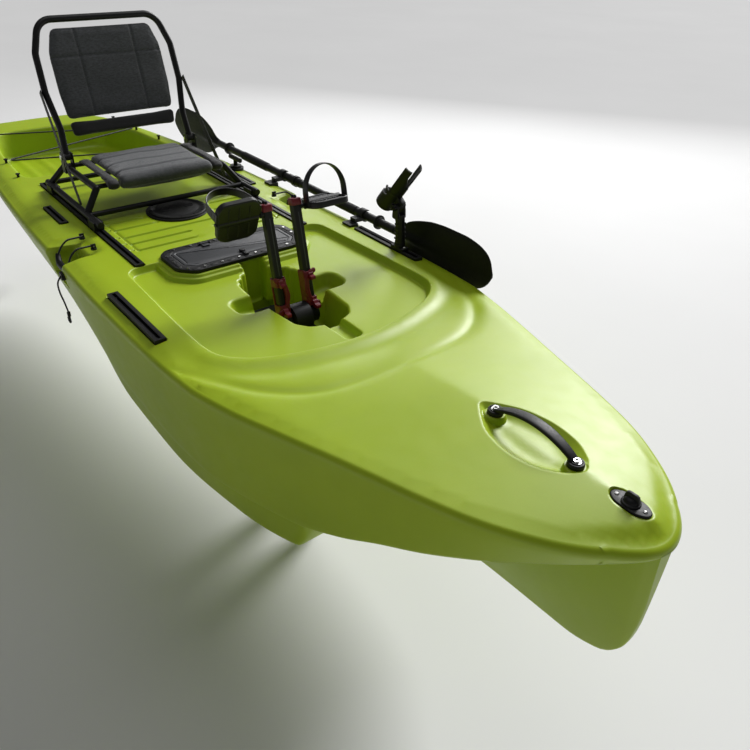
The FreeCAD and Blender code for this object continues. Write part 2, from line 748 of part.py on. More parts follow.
def make_housing():
    """Spine of the drive: it fills the slot and carries the crank boss and fin axle."""
    outline = [(408, 40), (428, 236), (530, 262), (620, 262), (704, 236), (716, 40), (640, -8), (470, -8)]
    spine = wall_prism(outline, -28, 28)
    boss = cylinder(DRIVE, Y_AXIS, 40, 54)
    cap = box(396, 728, -58, 58, 232, 244)
    chamber = [(436, 56), (452, 212), (690, 212), (694, 56), (636, 20), (478, 20)]
    keel = box(526, 624, -20, 20, -46, -6)
    nose = [box(x - 8, x + 8, -15, 15, -44, 40) for x in (FRONT_FIN_X - 44, REAR_FIN_X + 44)]
    housing = fuse([spine, boss, cap, keel] + nose).cut(wall_prism(chamber, -22, 22))
    for x in (FRONT_FIN_X, REAR_FIN_X):
        housing = housing.cut(cylinder((x, 0, FIN_Z), X_AXIS, 27, 64))
    housing = housing.cut(cylinder(DRIVE, Y_AXIS, SHAFT_RADIUS, 80))
    return housing.cut(cylinder((DRIVE_X, 0, FIN_Z), X_AXIS, AXLE_RADIUS, 400))


def make_crank_shaft():
    return cylinder(DRIVE, Y_AXIS, SHAFT_RADIUS, 2 * ARM_Y + 34)


def make_fin_axle():
    return pin((FRONT_FIN_X - 52, 0, FIN_Z), (REAR_FIN_X + 52, 0, FIN_Z), AXLE_RADIUS)


def make_drive_lock():
    """Quarter-turn clamp that holds the drive down at the front of its slot."""
    barrel = Part.makeCylinder(9, 12, V(716, 0, 244 + GAP))
    lever = box(712, 736, -4, 4, 250, 262)
    return barrel.fuse(lever)


def make_crank_socket(side):
    """Moulded crank that turns on the shaft and grips the foot of its arm."""
    y = side * ARM_Y
    hub = cylinder((DRIVE_X, y, DRIVE_Z), Y_AXIS, 26, 26)
    stem = box(DRIVE_X - 17, DRIVE_X + 17, y - 16.5, y + 16.5, DRIVE_Z + 12, DRIVE_Z + 128)
    hook_low = box(DRIVE_X + 8, DRIVE_X + 46, y - 8, y + 8, DRIVE_Z + 24, DRIVE_Z + 42)
    hook_high = box(DRIVE_X + 8, DRIVE_X + 34, y - 8, y + 8, DRIVE_Z + 104, DRIVE_Z + 122)
    socket = fuse([hub, stem, hook_low, hook_high])
    socket = socket.cut(Part.makeCylinder(ARM_RADIUS, 200, V(DRIVE_X, y, DRIVE_Z + ARM_FOOT)))
    window = box(DRIVE_X - 6, DRIVE_X + 30, y - 20, y + 20, DRIVE_Z + 56, DRIVE_Z + 92)
    socket = socket.cut(window)
    socket = socket.cut(cylinder((DRIVE_X, y, DRIVE_Z), Y_AXIS, SHAFT_RADIUS + SEAT_GAP, 60))
    return leaned(socket)


def make_crank_arm(side):
    """Tube with the pedal spindle fixed across it near the top."""
    y = side * ARM_Y
    arm = Part.makeCylinder(ARM_RADIUS, ARM_LENGTH - ARM_FOOT, V(DRIVE_X, y, DRIVE_Z + ARM_FOOT))
    bore = Part.makeCylinder(8, 24, V(DRIVE_X, y, DRIVE_Z + ARM_LENGTH - 16))
    reach = DRIVE_Z + PEDAL_REACH
    spindle = pin((DRIVE_X, y, reach), (DRIVE_X, side * 196, reach), SPINDLE_RADIUS)
    collar = cylinder((DRIVE_X, side * 61, reach), Y_AXIS, 8, 8)
    return leaned(fuse([arm.cut(bore), spindle, collar]))


def make_arm_cap(side):
    y = side * ARM_Y
    head = Part.makeCylinder(15, 7, V(DRIVE_X, y, DRIVE_Z + ARM_LENGTH))
    plug = Part.makeCylinder(8, 12, V(DRIVE_X, y, DRIVE_Z + ARM_LENGTH - 12))
    return leaned(head.fuse(plug))


def pedal_centre(side):
    lean = math.radians(ARM_LEAN)
    x = DRIVE_X - PEDAL_REACH * math.sin(lean)
    z = DRIVE_Z + PEDAL_REACH * math.cos(lean)
    return (x, side * PEDAL_Y, z)


def make_pedal(side_name):
    """Foot plate with a raised rim, bored for its spindle."""
    side = SIDES[side_name]
    x, y, z = pedal_centre(side)
    outline = [(-56, -36), (-44, -58), (40, -62), (58, -46), (58, 46), (40, 62), (-44, 58), (-56, 36)]
    outline = [(x + px, y + side * py) for px, py in outline]
    plate = prism(outline, z - 9, z + 9)
    tread = prism(grown_about(outline, x, y, -9), z + 4, z + 20)
    pedal = plate.cut(tread)
    hub = cylinder((x, y, z), Y_AXIS, 12, 116)
    pedal = pedal.fuse(hub)
    pedal = pedal.cut(cylinder((x, y, z), Y_AXIS, SPINDLE_RADIUS + SEAT_GAP, 200))
    return turned(pedal, (x, y, z), Y_AXIS, PEDAL_TURN[side_name])


def grown_about(outline, cx, cy, by):
    return [(x + math.copysign(by, x - cx), y + math.copysign(by, y - cy)) for x, y in outline]


def make_pedal_strap(side_name):
    """Rubber strap arched over the foot from one side of the plate to the other."""
    side = SIDES[side_name]
    x, y, z = pedal_centre(side)
    arch = [(x - 62.6, z - 8), (x - 62.6, z + 20)]
    for step in range(1, 10):
        angle = math.pi * step / 10
        arch.append((x - 62.6 * math.cos(angle), z + 30 + 72 * math.sin(angle)))
    arch += [(x + 62.6, z + 20), (x + 62.6, z - 8)]
    band = strap(arch, 26.0, 3.0, y)
    band = turned(band, (x, y, z), Z_AXIS, 90)
    band.translate(V(STRAP_AHEAD, 0, 0))
    return turned(band, (x, y, z), Y_AXIS, PEDAL_TURN[side_name])


def make_fin_mast(x):
    """Hub that rocks on the axle with the fin's mast below it."""
    hub = cylinder((x, 0, FIN_Z), X_AXIS, 22, 56)
    mast = pin((x, 0, FIN_Z - 10), (x, 0, FIN_Z - FIN_DEPTH), MAST_RADIUS)
    hub = hub.fuse(mast)
    return hub.cut(cylinder((x, 0, FIN_Z), X_AXIS, AXLE_RADIUS + SEAT_GAP, 80))


def make_fin(x):
    """Flexible fin, thick round its mast and thin at the trailing edge."""
    top = FIN_Z - 30
    outline = [
        (x + 15, top), (x + 17, top - 150), (x + 14, top - 300), (x + 2, top - 388),
        (x - 22, top - 404), (x - 60, top - 330), (x - 92, top - 200), (x - 104, top - 60),
        (x - 92, top - 8), (x - 60, top),
    ]
    blade = wall_prism(outline, -3, 3)
    sleeve = Part.makeCylinder(9, 360, V(x, 0, top - 360))
    fin = blade.fuse(sleeve)
    return fin.cut(pin((x, 0, FIN_Z), (x, 0, FIN_Z - FIN_DEPTH), MAST_RADIUS))


# ---- seat ---------------------------------------------------------------------------
def make_seat_base():
    """Welded base: runners over the rails, legs, and the pan's frame above."""
    r = SEAT_TUBE
    parts = []
    for side in SIDES.values():
        low_y = side * RAIL_Y
        pan_y = side * SEAT_HALF
        parts.append(pin((-118, low_y, RUNNER_Z), (-630, low_y, RUNNER_Z), r))
        parts.append(bars([(-240, low_y, RUNNER_Z), (PAN_FRONT, pan_y, PAN_Z),
                           (PAN_REAR, pan_y, PAN_Z), (-604, low_y, RUNNER_Z)], r))
        parts.append(box(BACK_PIVOT_X - 15, BACK_PIVOT_X + 15, pan_y - 18, pan_y + 18, PAN_Z - 13,
                         PAN_Z + 13))
        for step in (-15.5, 15.5):
            y = pan_y + step
            parts.append(box(BACK_PIVOT_X - 15, BACK_PIVOT_X + 15, y - 2.5, y + 2.5, PAN_Z - 4,
                             BACK_PIVOT_Z + 14))
    parts.append(pin((-226, -RAIL_Y + 3, RUNNER_Z), (-226, RAIL_Y - 3, RUNNER_Z), r - 2))
    parts.append(pin((-618, -RAIL_Y + 3, RUNNER_Z), (-618, RAIL_Y - 3, RUNNER_Z), r - 2))
    parts.append(pin((PAN_FRONT - 16, -SEAT_HALF + 3, PAN_Z), (PAN_FRONT - 16, SEAT_HALF - 3, PAN_Z), r - 3))
    parts.append(pin((PAN_REAR + 16, -SEAT_HALF + 3, PAN_Z), (PAN_REAR + 16, SEAT_HALF - 3, PAN_Z), r - 3))
    frame = fuse(parts)
    for side in SIDES.values():
        frame = frame.cut(cylinder((BACK_PIVOT_X, side * SEAT_HALF, BACK_PIVOT_Z), Y_AXIS, BACK_PIN, 60))
    return frame


def make_seat_feet():
    """Saddles under the runners, each with a T-nut in the rail."""
    feet = []
    top = TRACK_SEAT + TRACK_THICK
    for side in SIDES.values():
        y = side * RAIL_Y
        for x in (-165, -575):
            saddle = box(x - 26, x + 26, y - 16, y + 16, top + GAP, RUNNER_Z + 4)
            neck = box(x - 12, x + 12, y - 4, y + 4, TRACK_SEAT + 6, top + 4)
            nut = box(x - 20, x + 20, y - NUT_HALF, y + NUT_HALF,
                      TRACK_SEAT + NUT_LOW, TRACK_SEAT + NUT_HIGH)
            foot = fuse([saddle, neck, nut])
            feet.append(foot.cut(pin((x - 60, y, RUNNER_Z), (x + 60, y, RUNNER_Z), SEAT_TUBE)))
    return group(feet)


def make_seat_cushion():
    """Padded cushion with a roll that hangs over the front bar."""
    outline = [
        (-500, PAN_Z + 12), (-506, PAN_Z + 34), (-480, PAN_Z + 44), (-260, PAN_Z + 46),
        (-212, PAN_Z + 42), (-192, PAN_Z + 22), (-200, PAN_Z - 6), (-222, PAN_Z - 16),
        (-242, PAN_Z - 10), (-248, PAN_Z + 12),
    ]
    return wall_prism(outline, -208, 208)


def back_point(distance, forward=0.0):
    """A point up the backrest from its hinge, as (x, z)."""
    lean = math.radians(BACK_LEAN)
    x = BACK_PIVOT_X - distance * math.sin(lean) + forward * math.cos(lean)
    z = BACK_PIVOT_Z + distance * math.cos(lean) + forward * math.sin(lean)
    return (x, z)


def make_back_frame():
    """One bent tube: up from each hinge, out past the shoulders and across the top."""
    r = SEAT_TUBE
    half = SEAT_HALF
    stations = [(0, half), (90, half - 6), (210, half + 10), (330, half + 6), (BACK_HEIGHT, half - 30)]
    route = []
    for distance, y in stations:
        x, z = back_point(distance)
        route.append((x, y, z))
    route += [(x, -y, z) for x, y, z in route[::-1]]
    frame = tube(route, r, 60)
    for side in SIDES.values():
        eye = cylinder((BACK_PIVOT_X, side * half, BACK_PIVOT_Z), Y_AXIS, 12.5, 2 * r + 3)
        frame = frame.fuse(eye)
    for side in SIDES.values():
        centre = (BACK_PIVOT_X, side * half, BACK_PIVOT_Z)
        frame = frame.cut(cylinder(centre, Y_AXIS, BACK_PIN + SEAT_GAP, 80))
    return frame.removeSplitter()


def make_seat_pins():
    """Hinge pins of the backrest, with a head outboard."""
    pins = []
    for side in SIDES.values():
        centre = (BACK_PIVOT_X, side * SEAT_HALF, BACK_PIVOT_Z)
        shank = cylinder(centre, Y_AXIS, BACK_PIN, 44)
        head = cylinder((BACK_PIVOT_X, side * (SEAT_HALF + 20), BACK_PIVOT_Z), Y_AXIS, 9, 4)
        pins.append(shank.fuse(head))
    return group(pins)


def make_back_panel():
    """Padded back panel hung between the side tubes."""
    half_ring = [(56, 176), (60, 190), (200, 206), (330, 204), (BACK_HEIGHT - 20, 176)]
    corners = []
    for distance, y in half_ring + [(distance, -y) for distance, y in half_ring[::-1]]:
        x, z = back_point(distance, -PANEL_THICK / 2)
        corners.append(V(x, y, z))
    face = Part.Face(Part.makePolygon(corners + corners[:1]))
    lean = math.radians(BACK_LEAN)
    return face.extrude(V(PANEL_THICK * math.cos(lean), 0, PANEL_THICK * math.sin(lean)))


def make_seat_strap(side):
    """Webbing that holds the back up, from its side tube down to the runner."""
    x_high, z_high = back_point(215)
    low = V(-330, side * (RAIL_Y - 14.5), RUNNER_Z + 2)
    high = V(x_high, side * (SEAT_HALF + 24), z_high)
    run = high - low
    across = V(-run.z, 0, run.x).normalize() * 12.5
    corners = [low - across, low + across, high + across, high - across]
    face = Part.Face(Part.makePolygon(corners + corners[:1]))
    return face.extrude(V(0, side * 2.5, 0))


# ---- rudder and steering ------------------------------------------------------------
def make_rudder_bracket():
    """Transom bracket with two ears for the rudder pin."""
    plate = box(STERN - 8, STERN, -32, 32, 236, 334)
    ears = [box(RUDDER_X - 13, STERN - 4, -15, 15, z, z + 8) for z in (246, 318)]
    bracket = fuse([plate] + ears)
    return bracket.cut(Part.makeCylinder(RUDDER_PIN, 140, V(RUDDER_X, 0, 220)))


def make_rudder_pin():
    shank = Part.makeCylinder(RUDDER_PIN, 90, V(RUDDER_X, 0, 240))
    return shank.fuse(Part.makeCylinder(10, 5, V(RUDDER_X, 0, 326)))


def make_rudder_head():
    """Yoke that steers on the pin and carries the blade between its cheeks."""
    tube_part = Part.makeCylinder(14, 63, V(RUDDER_X, 0, 254.5))
    cheeks = [box(KICK_X - 20, RUDDER_X, side * 9 - 4, side * 9 + 4, 262, 312) for side in (-1, 1)]
    web = box(RUDDER_X - 24, RUDDER_X, -10, 10, 262, 312)
    bar = box(RUDDER_X - 8, RUDDER_X + 8, -50, 50, 296, 304)
    head = fuse([tube_part, web, bar] + cheeks)
    head = head.cut(Part.makeCylinder(RUDDER_PIN + SEAT_GAP, 140, V(RUDDER_X, 0, 220)))
    return head.cut(cylinder((KICK_X, 0, KICK_Z), Y_AXIS, KICK_PIN, 60))


def make_rudder_bolt():
    shank = cylinder((KICK_X, 0, KICK_Z), Y_AXIS, KICK_PIN, 26)
    heads = [cylinder((KICK_X, side * 16, KICK_Z), Y_AXIS, 9, 6) for side in (-1, 1)]
    return fuse([shank] + heads)


def make_rudder_blade():
    """Foil that hangs below the hull and kicks up aft."""
    outline = [
        (KICK_X + 12, 306), (KICK_X + 17, 262), (KICK_X + 10, 150), (KICK_X + 6, 0),
        (KICK_X - 12, -150), (KICK_X - 40, -168), (KICK_X - 84, -120), (KICK_X - 104, 20),
        (KICK_X - 92, 140), (KICK_X - 34, 232), (KICK_X - 17, 262), (KICK_X - 12, 306),
    ]
    blade = wall_prism(outline, -4.6, 4.6)
    return blade.cut(cylinder((KICK_X, 0, KICK_Z), Y_AXIS, KICK_PIN + SEAT_GAP, 60))


def make_steering_base():
    base = Part.makeCylinder(30, 16, V(KNOB_X, KNOB_Y, DECK_EDGE_SEAT + 2))
    return base.cut(Part.makeCylinder(STEER_PIN + SEAT_GAP, 40, V(KNOB_X, KNOB_Y, DECK_EDGE_SEAT + 10)))


def make_steering_lever():
    """T-handle that the hand turns beside the hip."""
    top = DECK_EDGE_SEAT + 18
    spindle = Part.makeCylinder(STEER_PIN, 37, V(KNOB_X, KNOB_Y, top - 7))
    disc = Part.makeCylinder(22, 8, V(KNOB_X, KNOB_Y, top + GAP))
    grip = cylinder((KNOB_X, KNOB_Y, top + 34), X_AXIS, 9, 78)
    return fuse([spindle, disc, grip])


# ---- stern --------------------------------------------------------------------------
def make_tank_hooks():
    """Low posts round the tank well that the elastic cord is looped round."""
    hooks = []
    for side in SIDES.values():
        for x, y in HOOKS:
            post = Part.makeCylinder(5, 32, V(x, side * y, 348))
            head = Part.makeCylinder(8, 3, V(x, side * y, 380))
            hooks.append(post.fuse(head))
    return group(hooks)


def make_tank_cord():
    """Elastic cord laced tight across the tank well from hook to hook."""
    route = []
    side = 1
    for x, y in HOOKS:
        route.append((x, side * (y + 1), TANK_CORD_Z))
        side = -side
    return tube(route, 3.0, 10)


# ---- free cord on the starboard side --------------------------------------------------
def cord_bends(route):
    """Bend radius at each inner point: 0.45 of the shorter run over tan(half the turn)."""
    radii = []
    for before, here, after in zip(route, route[1:], route[2:]):
        back = V(*before) - V(*here)
        ahead = V(*after) - V(*here)
        turn = math.pi - back.getAngle(ahead)
        radii.append(0.45 * min(back.Length, ahead.Length) / math.tan(turn / 2))
    return radii


def make_side_cord():
    cord = tube(CORD_ROUTE, CORD_RADIUS, 1000.0)
    length = bend_wire(CORD_ROUTE, 1000.0).Length
    section = math.pi * CORD_RADIUS ** 2
    radii = [round(radius, 1) for radius in cord_bends(CORD_ROUTE)]
    print("side cord radii", radii, "length", round(length, 1))
    print("side cord volume over section x length", round(cord.Volume / (section * length), 4))
    return cord


def make_side_cord_eye():
    """Small eye on the gunwale that the elastic cord is tied to."""
    return box(14, 34, -472, -461, 318, 340)


def make_side_cord_hook():
    """Plastic hook tied to the end of the elastic cord."""
    x, y, z = CORD_ROUTE[-1]
    collar = Part.makeCylinder(5, 14, V(x, y, z - 14))
    hook = tube([(x, y, z - 12), (x + 3, y, z - 34), (x - 13, y, z - 40), (x - 17, y, z - 24)], 2.6, 8)
    return collar.fuse(hook)


# ---- all the nodes ------------------------------------------------------------------
def main():
    os.makedirs("parts", exist_ok=True)
    save("hull_shell", make_hull())
    save("bow_handle", make_carry_handle(BOW_BOLTS[0], BOW_BOLTS[1], HANDLE_SEAT, 34.0, 24.0))
    places = [(x, 0) for x in BOW_BOLTS]
    bolts = make_bolts(places, HANDLE_SEAT + 9, 6.5, 4.0, 4.0, 30.0)
    save("deck_screws", group([bolts, make_track_screws(), make_hatch_screws()]))
    save("drain_plug_base", make_drain_base())
    save("drain_plug", make_drain_plug())
    save("gear_tracks", make_tracks())
    save("seat_rails", make_rails())
    save("deck_hooks", group([make_deck_eyes(), make_tank_hooks(), make_side_cord_eye()]))
    save("hatch_frame", make_hatch_frame())
    save("hinge_pins", group([make_hatch_pins(), make_rudder_pin()]))
    save("hatch_gasket", make_hatch_gasket())
    save("hatch_lid", make_hatch_lid())
    save("hatch_latch", make_hatch_latch())
    save("round_hatch_ring", make_round_ring())
    save("round_hatch_lid", make_round_lid())
    save("paddle_shaft", group([make_paddle_shaft(), shaft_sleeves((0,), GRIP_RADIUS, 90)]))
    save("paddle_grips", shaft_sleeves((-290, 290), GRIP_RADIUS, 190))
    save("paddle_drip_rings", shaft_sleeves((-505, 505), 24.0, 8))
    save("front_paddle_blade", make_blade(PADDLE_MID + BLADE_ROOT, PADDLE_FRONT))
    save("rear_paddle_blade", make_blade(PADDLE_MID - BLADE_ROOT, PADDLE_FRONT - PADDLE_LENGTH))
    save("paddle_clips", make_paddle_clips())
    save("rod_holder_base", make_rod_base())
    save("rod_holder_post", make_rod_post())
    save("rod_holder_pin", make_rod_pin())
    save("rod_holder_cradle", make_rod_cradle())
    save("drive_housing", make_housing())
    save("drive_lock", make_drive_lock())
    save("drive_axles", group([make_crank_shaft(), make_fin_axle()]))
    for name, side in SIDES.items():
        save(name + "_crank_socket", make_crank_socket(side))
        save(name + "_crank_arm", make_crank_arm(side))
        save(name + "_arm_cap", make_arm_cap(side))
        save(name + "_pedal", make_pedal(name))
        save(name + "_pedal_strap", make_pedal_strap(name))
        save(name + "_side_handle", make_side_handle(side))
    save("front_fin_mast", make_fin_mast(FRONT_FIN_X))
    save("front_fin", make_fin(FRONT_FIN_X))
    save("rear_fin_mast", make_fin_mast(REAR_FIN_X))
    save("rear_fin", make_fin(REAR_FIN_X))
    save("seat_base_frame", make_seat_base())
    save("seat_feet", make_seat_feet())
    save("seat_cushion", make_seat_cushion())
    save("seat_back_frame", make_back_frame())
    save("seat_back_pins", make_seat_pins())
    save("seat_back_panel", make_back_panel())
    save("seat_straps", group([make_seat_strap(side) for side in SIDES.values()]))
    save("rudder_bracket", make_rudder_bracket())
    save("rudder_head", make_rudder_head())
    save("rudder_bolt", make_rudder_bolt())
    save("rudder_blade", make_rudder_blade())
    save("steering_base", make_steering_base())
    save("steering_lever", make_steering_lever())
    save("tank_cord", make_tank_cord())
    save("side_cord", make_side_cord())
    save("side_cord_hook", make_side_cord_hook())


main()
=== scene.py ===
import json
import math
from contextlib import contextmanager

import bmesh
import bpy
import numpy as np
from mathutils import Matrix, Vector
from mathutils.geometry import delaunay_2d_cdt


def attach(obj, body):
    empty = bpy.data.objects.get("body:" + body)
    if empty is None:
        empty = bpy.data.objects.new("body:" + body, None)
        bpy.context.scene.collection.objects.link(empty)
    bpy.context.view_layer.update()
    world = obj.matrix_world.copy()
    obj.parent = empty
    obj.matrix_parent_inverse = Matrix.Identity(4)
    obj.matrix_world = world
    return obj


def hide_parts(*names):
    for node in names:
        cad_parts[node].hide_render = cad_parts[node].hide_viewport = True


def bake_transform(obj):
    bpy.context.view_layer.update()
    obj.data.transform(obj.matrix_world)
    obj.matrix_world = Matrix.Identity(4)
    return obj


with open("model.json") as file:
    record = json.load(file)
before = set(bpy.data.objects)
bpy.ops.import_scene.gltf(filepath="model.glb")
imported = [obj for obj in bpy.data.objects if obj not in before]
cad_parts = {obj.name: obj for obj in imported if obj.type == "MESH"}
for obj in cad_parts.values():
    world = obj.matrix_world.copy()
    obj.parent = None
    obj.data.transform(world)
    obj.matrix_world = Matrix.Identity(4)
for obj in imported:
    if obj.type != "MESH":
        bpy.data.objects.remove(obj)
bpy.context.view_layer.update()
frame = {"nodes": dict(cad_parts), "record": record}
MM = 0.001
SIDES = {"starboard": -1, "port": 1}


# ---- materials ------------------------------------------------------------------------
MIX_SOCKETS = (0, 6, 7)      # a mix node's factor and two colours
MIX_RESULT = 2


class Nodes:
    """Builds one procedural material, node by node."""

    def __init__(self, name):
        self.material = bpy.data.materials.new(name)
        self.material.use_nodes = True
        self.tree = self.material.node_tree
        self.shader = self.tree.nodes["Principled BSDF"]
        self.place = self.add("ShaderNodeTexCoord").outputs["Object"]

    def add(self, kind, **values):
        node = self.tree.nodes.new(kind)
        for key, value in values.items():
            if key in node.inputs:
                node.inputs[key].default_value = value
            else:
                setattr(node, key, value)
        return node

    def link(self, source, target):
        self.tree.links.new(source, target)

    def set(self, **values):
        for key, value in values.items():
            self.shader.inputs[key.replace("_", " ")].default_value = value

    def feed(self, **sources):
        """Joins node outputs to the shader's inputs."""
        for key, source in sources.items():
            self.link(source, self.shader.inputs[key.replace("_", " ")])

    def noise(self, scale, detail=3.0, roughness=0.55, stretch=None):
        node = self.add("ShaderNodeTexNoise", Scale=scale, Detail=detail, Roughness=roughness)
        place = self.place
        if stretch:
            mapping = self.add("ShaderNodeMapping", Scale=stretch)
            self.link(place, mapping.inputs["Vector"])
            place = mapping.outputs["Vector"]
        self.link(place, node.inputs["Vector"])
        return node.outputs["Fac"]

    def wave(self, direction, scale, distortion, detail):
        node = self.add("ShaderNodeTexWave", bands_direction=direction, Scale=scale,
                        Distortion=distortion, Detail=detail)
        self.link(self.place, node.inputs["Vector"])
        return node.outputs["Fac"]

    def ramp(self, source, low, high, colours):
        node = self.add("ShaderNodeValToRGB")
        for element, position, colour in zip(node.color_ramp.elements, (low, high), colours):
            element.position = position
            element.color = colour
        self.link(source, node.inputs["Fac"])
        return node.outputs["Color"]

    def multiply(self, share, base, shade):
        """A base colour darkened, by a share, with a shade."""
        node = self.add("ShaderNodeMix", data_type="RGBA", blend_type="MULTIPLY")
        factor, first, second = (node.inputs[k] for k in MIX_SOCKETS)
        factor.default_value = share
        self.link(base, first)
        self.link(shade, second)
        return node.outputs[MIX_RESULT]

    def span(self, source, low, high, out_low, out_high):
        node = self.add("ShaderNodeMapRange")
        for key, value in (("From Min", low), ("From Max", high), ("To Min", out_low), ("To Max", out_high)):
            node.inputs[key].default_value = value
        self.link(source, node.inputs["Value"])
        return node.outputs["Result"]

    def bump(self, source, strength, distance, before=None):
        node = self.add("ShaderNodeBump", Strength=strength, Distance=distance)
        self.link(source, node.inputs["Height"])
        if before:
            self.link(before, node.inputs["Normal"])
        return node.outputs["Normal"]

    def math(self, operation, first, second):
        node = self.add("ShaderNodeMath", operation=operation)
        for socket, value in zip(node.inputs, (first, second)):
            if isinstance(value, (int, float)):
                socket.default_value = value
            else:
                self.link(value, socket)
        return node.outputs[0]


def rgba(colour, factor=1.0):
    return tuple(min(1.0, c * factor) for c in colour) + (1.0,)


def plastic(name, colour, roughness=0.45, grain=900.0, depth=0.25, vary=0.12, specular=0.5, painted_edge_highlight=0.0):
    """Moulded plastic, rubber or painted metal: mottled colour, uneven gloss, fine grain, and where asked a
    painted highlight on convex edges.
    """
    n = Nodes(name)
    mottle = 14.0
    base = n.ramp(n.noise(mottle, 4.0), 0.3, 0.7, (rgba(colour, 1 - vary), rgba(colour, 1 + vary)))
    # painted highlight: convex edges, picked out by pointiness, are lightened towards a paler copy of the
    # colour
    if painted_edge_highlight:
        geometry = n.add("ShaderNodeNewGeometry")
        edge = n.span(geometry.outputs["Pointiness"], 0.53, 0.60, 0.0, painted_edge_highlight)
        mix = n.add("ShaderNodeMix", data_type="RGBA")
        factor, first, second = (mix.inputs[k] for k in MIX_SOCKETS)
        n.link(edge, factor)
        n.link(base, first)
        second.default_value = rgba([min(1.0, c * 2.2 + 0.06) for c in colour])
        base = mix.outputs[MIX_RESULT]
    gloss = n.span(n.noise(mottle * 9, 5.0), 0.25, 0.75, roughness - 0.07, roughness + 0.09)
    n.feed(Base_Color=base, Roughness=gloss, Normal=n.bump(n.noise(grain, 2.0), depth, 0.0004))
    n.set(Specular_IOR_Level=specular)
    return n.material


def metal(name, colour, roughness):
    """Brushed metal."""
    n = Nodes(name)
    lines = n.noise(60.0, 4.0, stretch=(1, 1, 40))
    n.feed(Base_Color=n.ramp(lines, 0.3, 0.7, (rgba(colour, 0.85), rgba(colour, 1.1))),
           Roughness=n.span(lines, 0.2, 0.8, roughness - 0.07, roughness + 0.12),
           Normal=n.bump(lines, 0.12, 0.0003))
    n.set(Metallic=1.0)
    return n.material


def hull_plastic():
    """Rotomoulded polyethylene: faint orange peel, soft satin sheen, faint flow mottling."""
    n = Nodes("lime_polyethylene")
    base = n.ramp(n.noise(3.2, 4.0, 0.6), 0.32, 0.68, ((0.325, 0.450, 0.009, 1), (0.370, 0.498, 0.012, 1)))
    speck = n.ramp(n.noise(420.0, 2.0), 0.3, 0.75, ((0.86, 0.88, 0.8, 1), (1, 1, 1, 1)))
    peel = n.bump(n.noise(210.0, 2.0), 0.10, 0.0006)
    n.feed(Base_Color=n.multiply(0.35, base, speck),
           Roughness=n.span(n.noise(26.0, 5.0), 0.25, 0.75, 0.36, 0.46),
           Normal=n.bump(n.noise(900.0, 2.0), 0.12, 0.0003, peel))
    n.set(Specular_IOR_Level=0.4, Subsurface_Weight=0.05, Subsurface_Scale=0.004, Coat_Weight=0.08,
          Coat_Roughness=0.32)
    return n.material


def fabric(name, colour, sheen=0.5):
    """Coated woven cloth: crossed threads, heathered colour, sheen."""
    n = Nodes(name)
    across, along, upright = (n.wave(direction, 250.0, 1.2, 2.0) for direction in "XYZ")
    weave = n.math("ADD", n.math("MULTIPLY", across, along), n.math("MULTIPLY", upright, 0.6))
    heather = n.noise(260.0, 4.0, 0.7, (1, 0.35, 1))
    base = n.ramp(heather, 0.3, 0.7, (rgba(colour, 0.5), rgba(colour, 1.5)))
    fade = n.ramp(n.noise(9.0, 4.0), 0.3, 0.7, ((0.62, 0.62, 0.62, 1), (1, 1, 1, 1)))
    wrinkle = n.bump(n.noise(38.0, 4.0, 0.6), 0.35, 0.003)
    n.feed(Base_Color=n.multiply(0.5, base, fade), Roughness=n.span(weave, 0.0, 1.6, 0.63, 0.85),
           Normal=n.bump(weave, 0.5, 0.0006, wrinkle))
    n.set(Sheen_Weight=sheen, Sheen_Roughness=0.4)
    return n.material


def webbing(name, colour):
    """Woven band with a herringbone rib."""
    n = Nodes(name)
    rib = n.wave("DIAGONAL", 260.0, 0.4, 1.0)
    n.feed(Base_Color=n.ramp(rib, 0.2, 0.8, (rgba(colour, 0.6), rgba(colour, 1.5))),
           Roughness=n.span(n.noise(80.0), 0.3, 0.7, 0.6, 0.8), Normal=n.bump(rib, 0.6, 0.0006))
    n.set(Sheen_Weight=0.3, Sheen_Roughness=0.4)
    return n.material


MATERIALS = {
    "hull_green": hull_plastic(),
    # black_nylon and black_anodised get a painted highlight on their convex edges
    "black_plastic": plastic("black_nylon", [0.0055, 0.0055, 0.006], 0.46, painted_edge_highlight=0.15, specular=0.28),
    "lid_grey": plastic("lid_grey", [0.036, 0.038, 0.042], 0.5, grain=420.0, depth=0.5, vary=0.1),
    "seal_rubber": plastic("soft_rubber", [0.009, 0.009, 0.010], 0.66, grain=1200.0),
    "strap_rubber": plastic("strap_rubber", [0.008, 0.008, 0.009], 0.38, grain=700.0, vary=0.2,
                            specular=0.4),
    "black_aluminium": plastic("black_anodised", [0.0065, 0.0065, 0.007], 0.40, grain=1500.0, painted_edge_highlight=0.15,
                               specular=0.3),
    "stainless": metal("stainless", [0.62, 0.62, 0.61], 0.24),
    "crank_red": plastic("crank_red", [0.17, 0.004, 0.013], 0.40, grain=600.0, vary=0.18),
    "fin_rubber": plastic("fin_rubber", [0.02, 0.02, 0.021], 0.5, grain=500.0),
    "seat_fabric": fabric("seat_cloth", [0.050, 0.054, 0.060]),
    "black_fabric": fabric("black_cloth", [0.009, 0.009, 0.010], sheen=0.3),
    "webbing": webbing("webbing", [0.012, 0.012, 0.013]),
    "elastic": webbing("elastic", [0.014, 0.014, 0.015]),
    "blade_black": plastic("blade_black", [0.006, 0.006, 0.006], 0.55, grain=500.0, specular=0.25),
}


# ---- small mesh tools -----------------------------------------------------------------
@contextmanager
def editing(mesh):
    """The mesh as a bmesh, written back at the end."""
    work = bmesh.new()
    work.from_mesh(mesh)
    yield work
    work.to_mesh(mesh)
    work.free()


def add_to_scene(name, data):
    thing = bpy.data.objects.new(name, data)
    bpy.context.scene.collection.objects.link(thing)
    return thing


def mesh_object(name, points, faces):
    mesh = bpy.data.meshes.new(name)
    mesh.from_pydata([tuple(p) for p in points], [], [tuple(f) for f in faces])
    mesh.validate()
    mesh.update()
    mesh.shade_smooth()
    return add_to_scene(name, mesh)


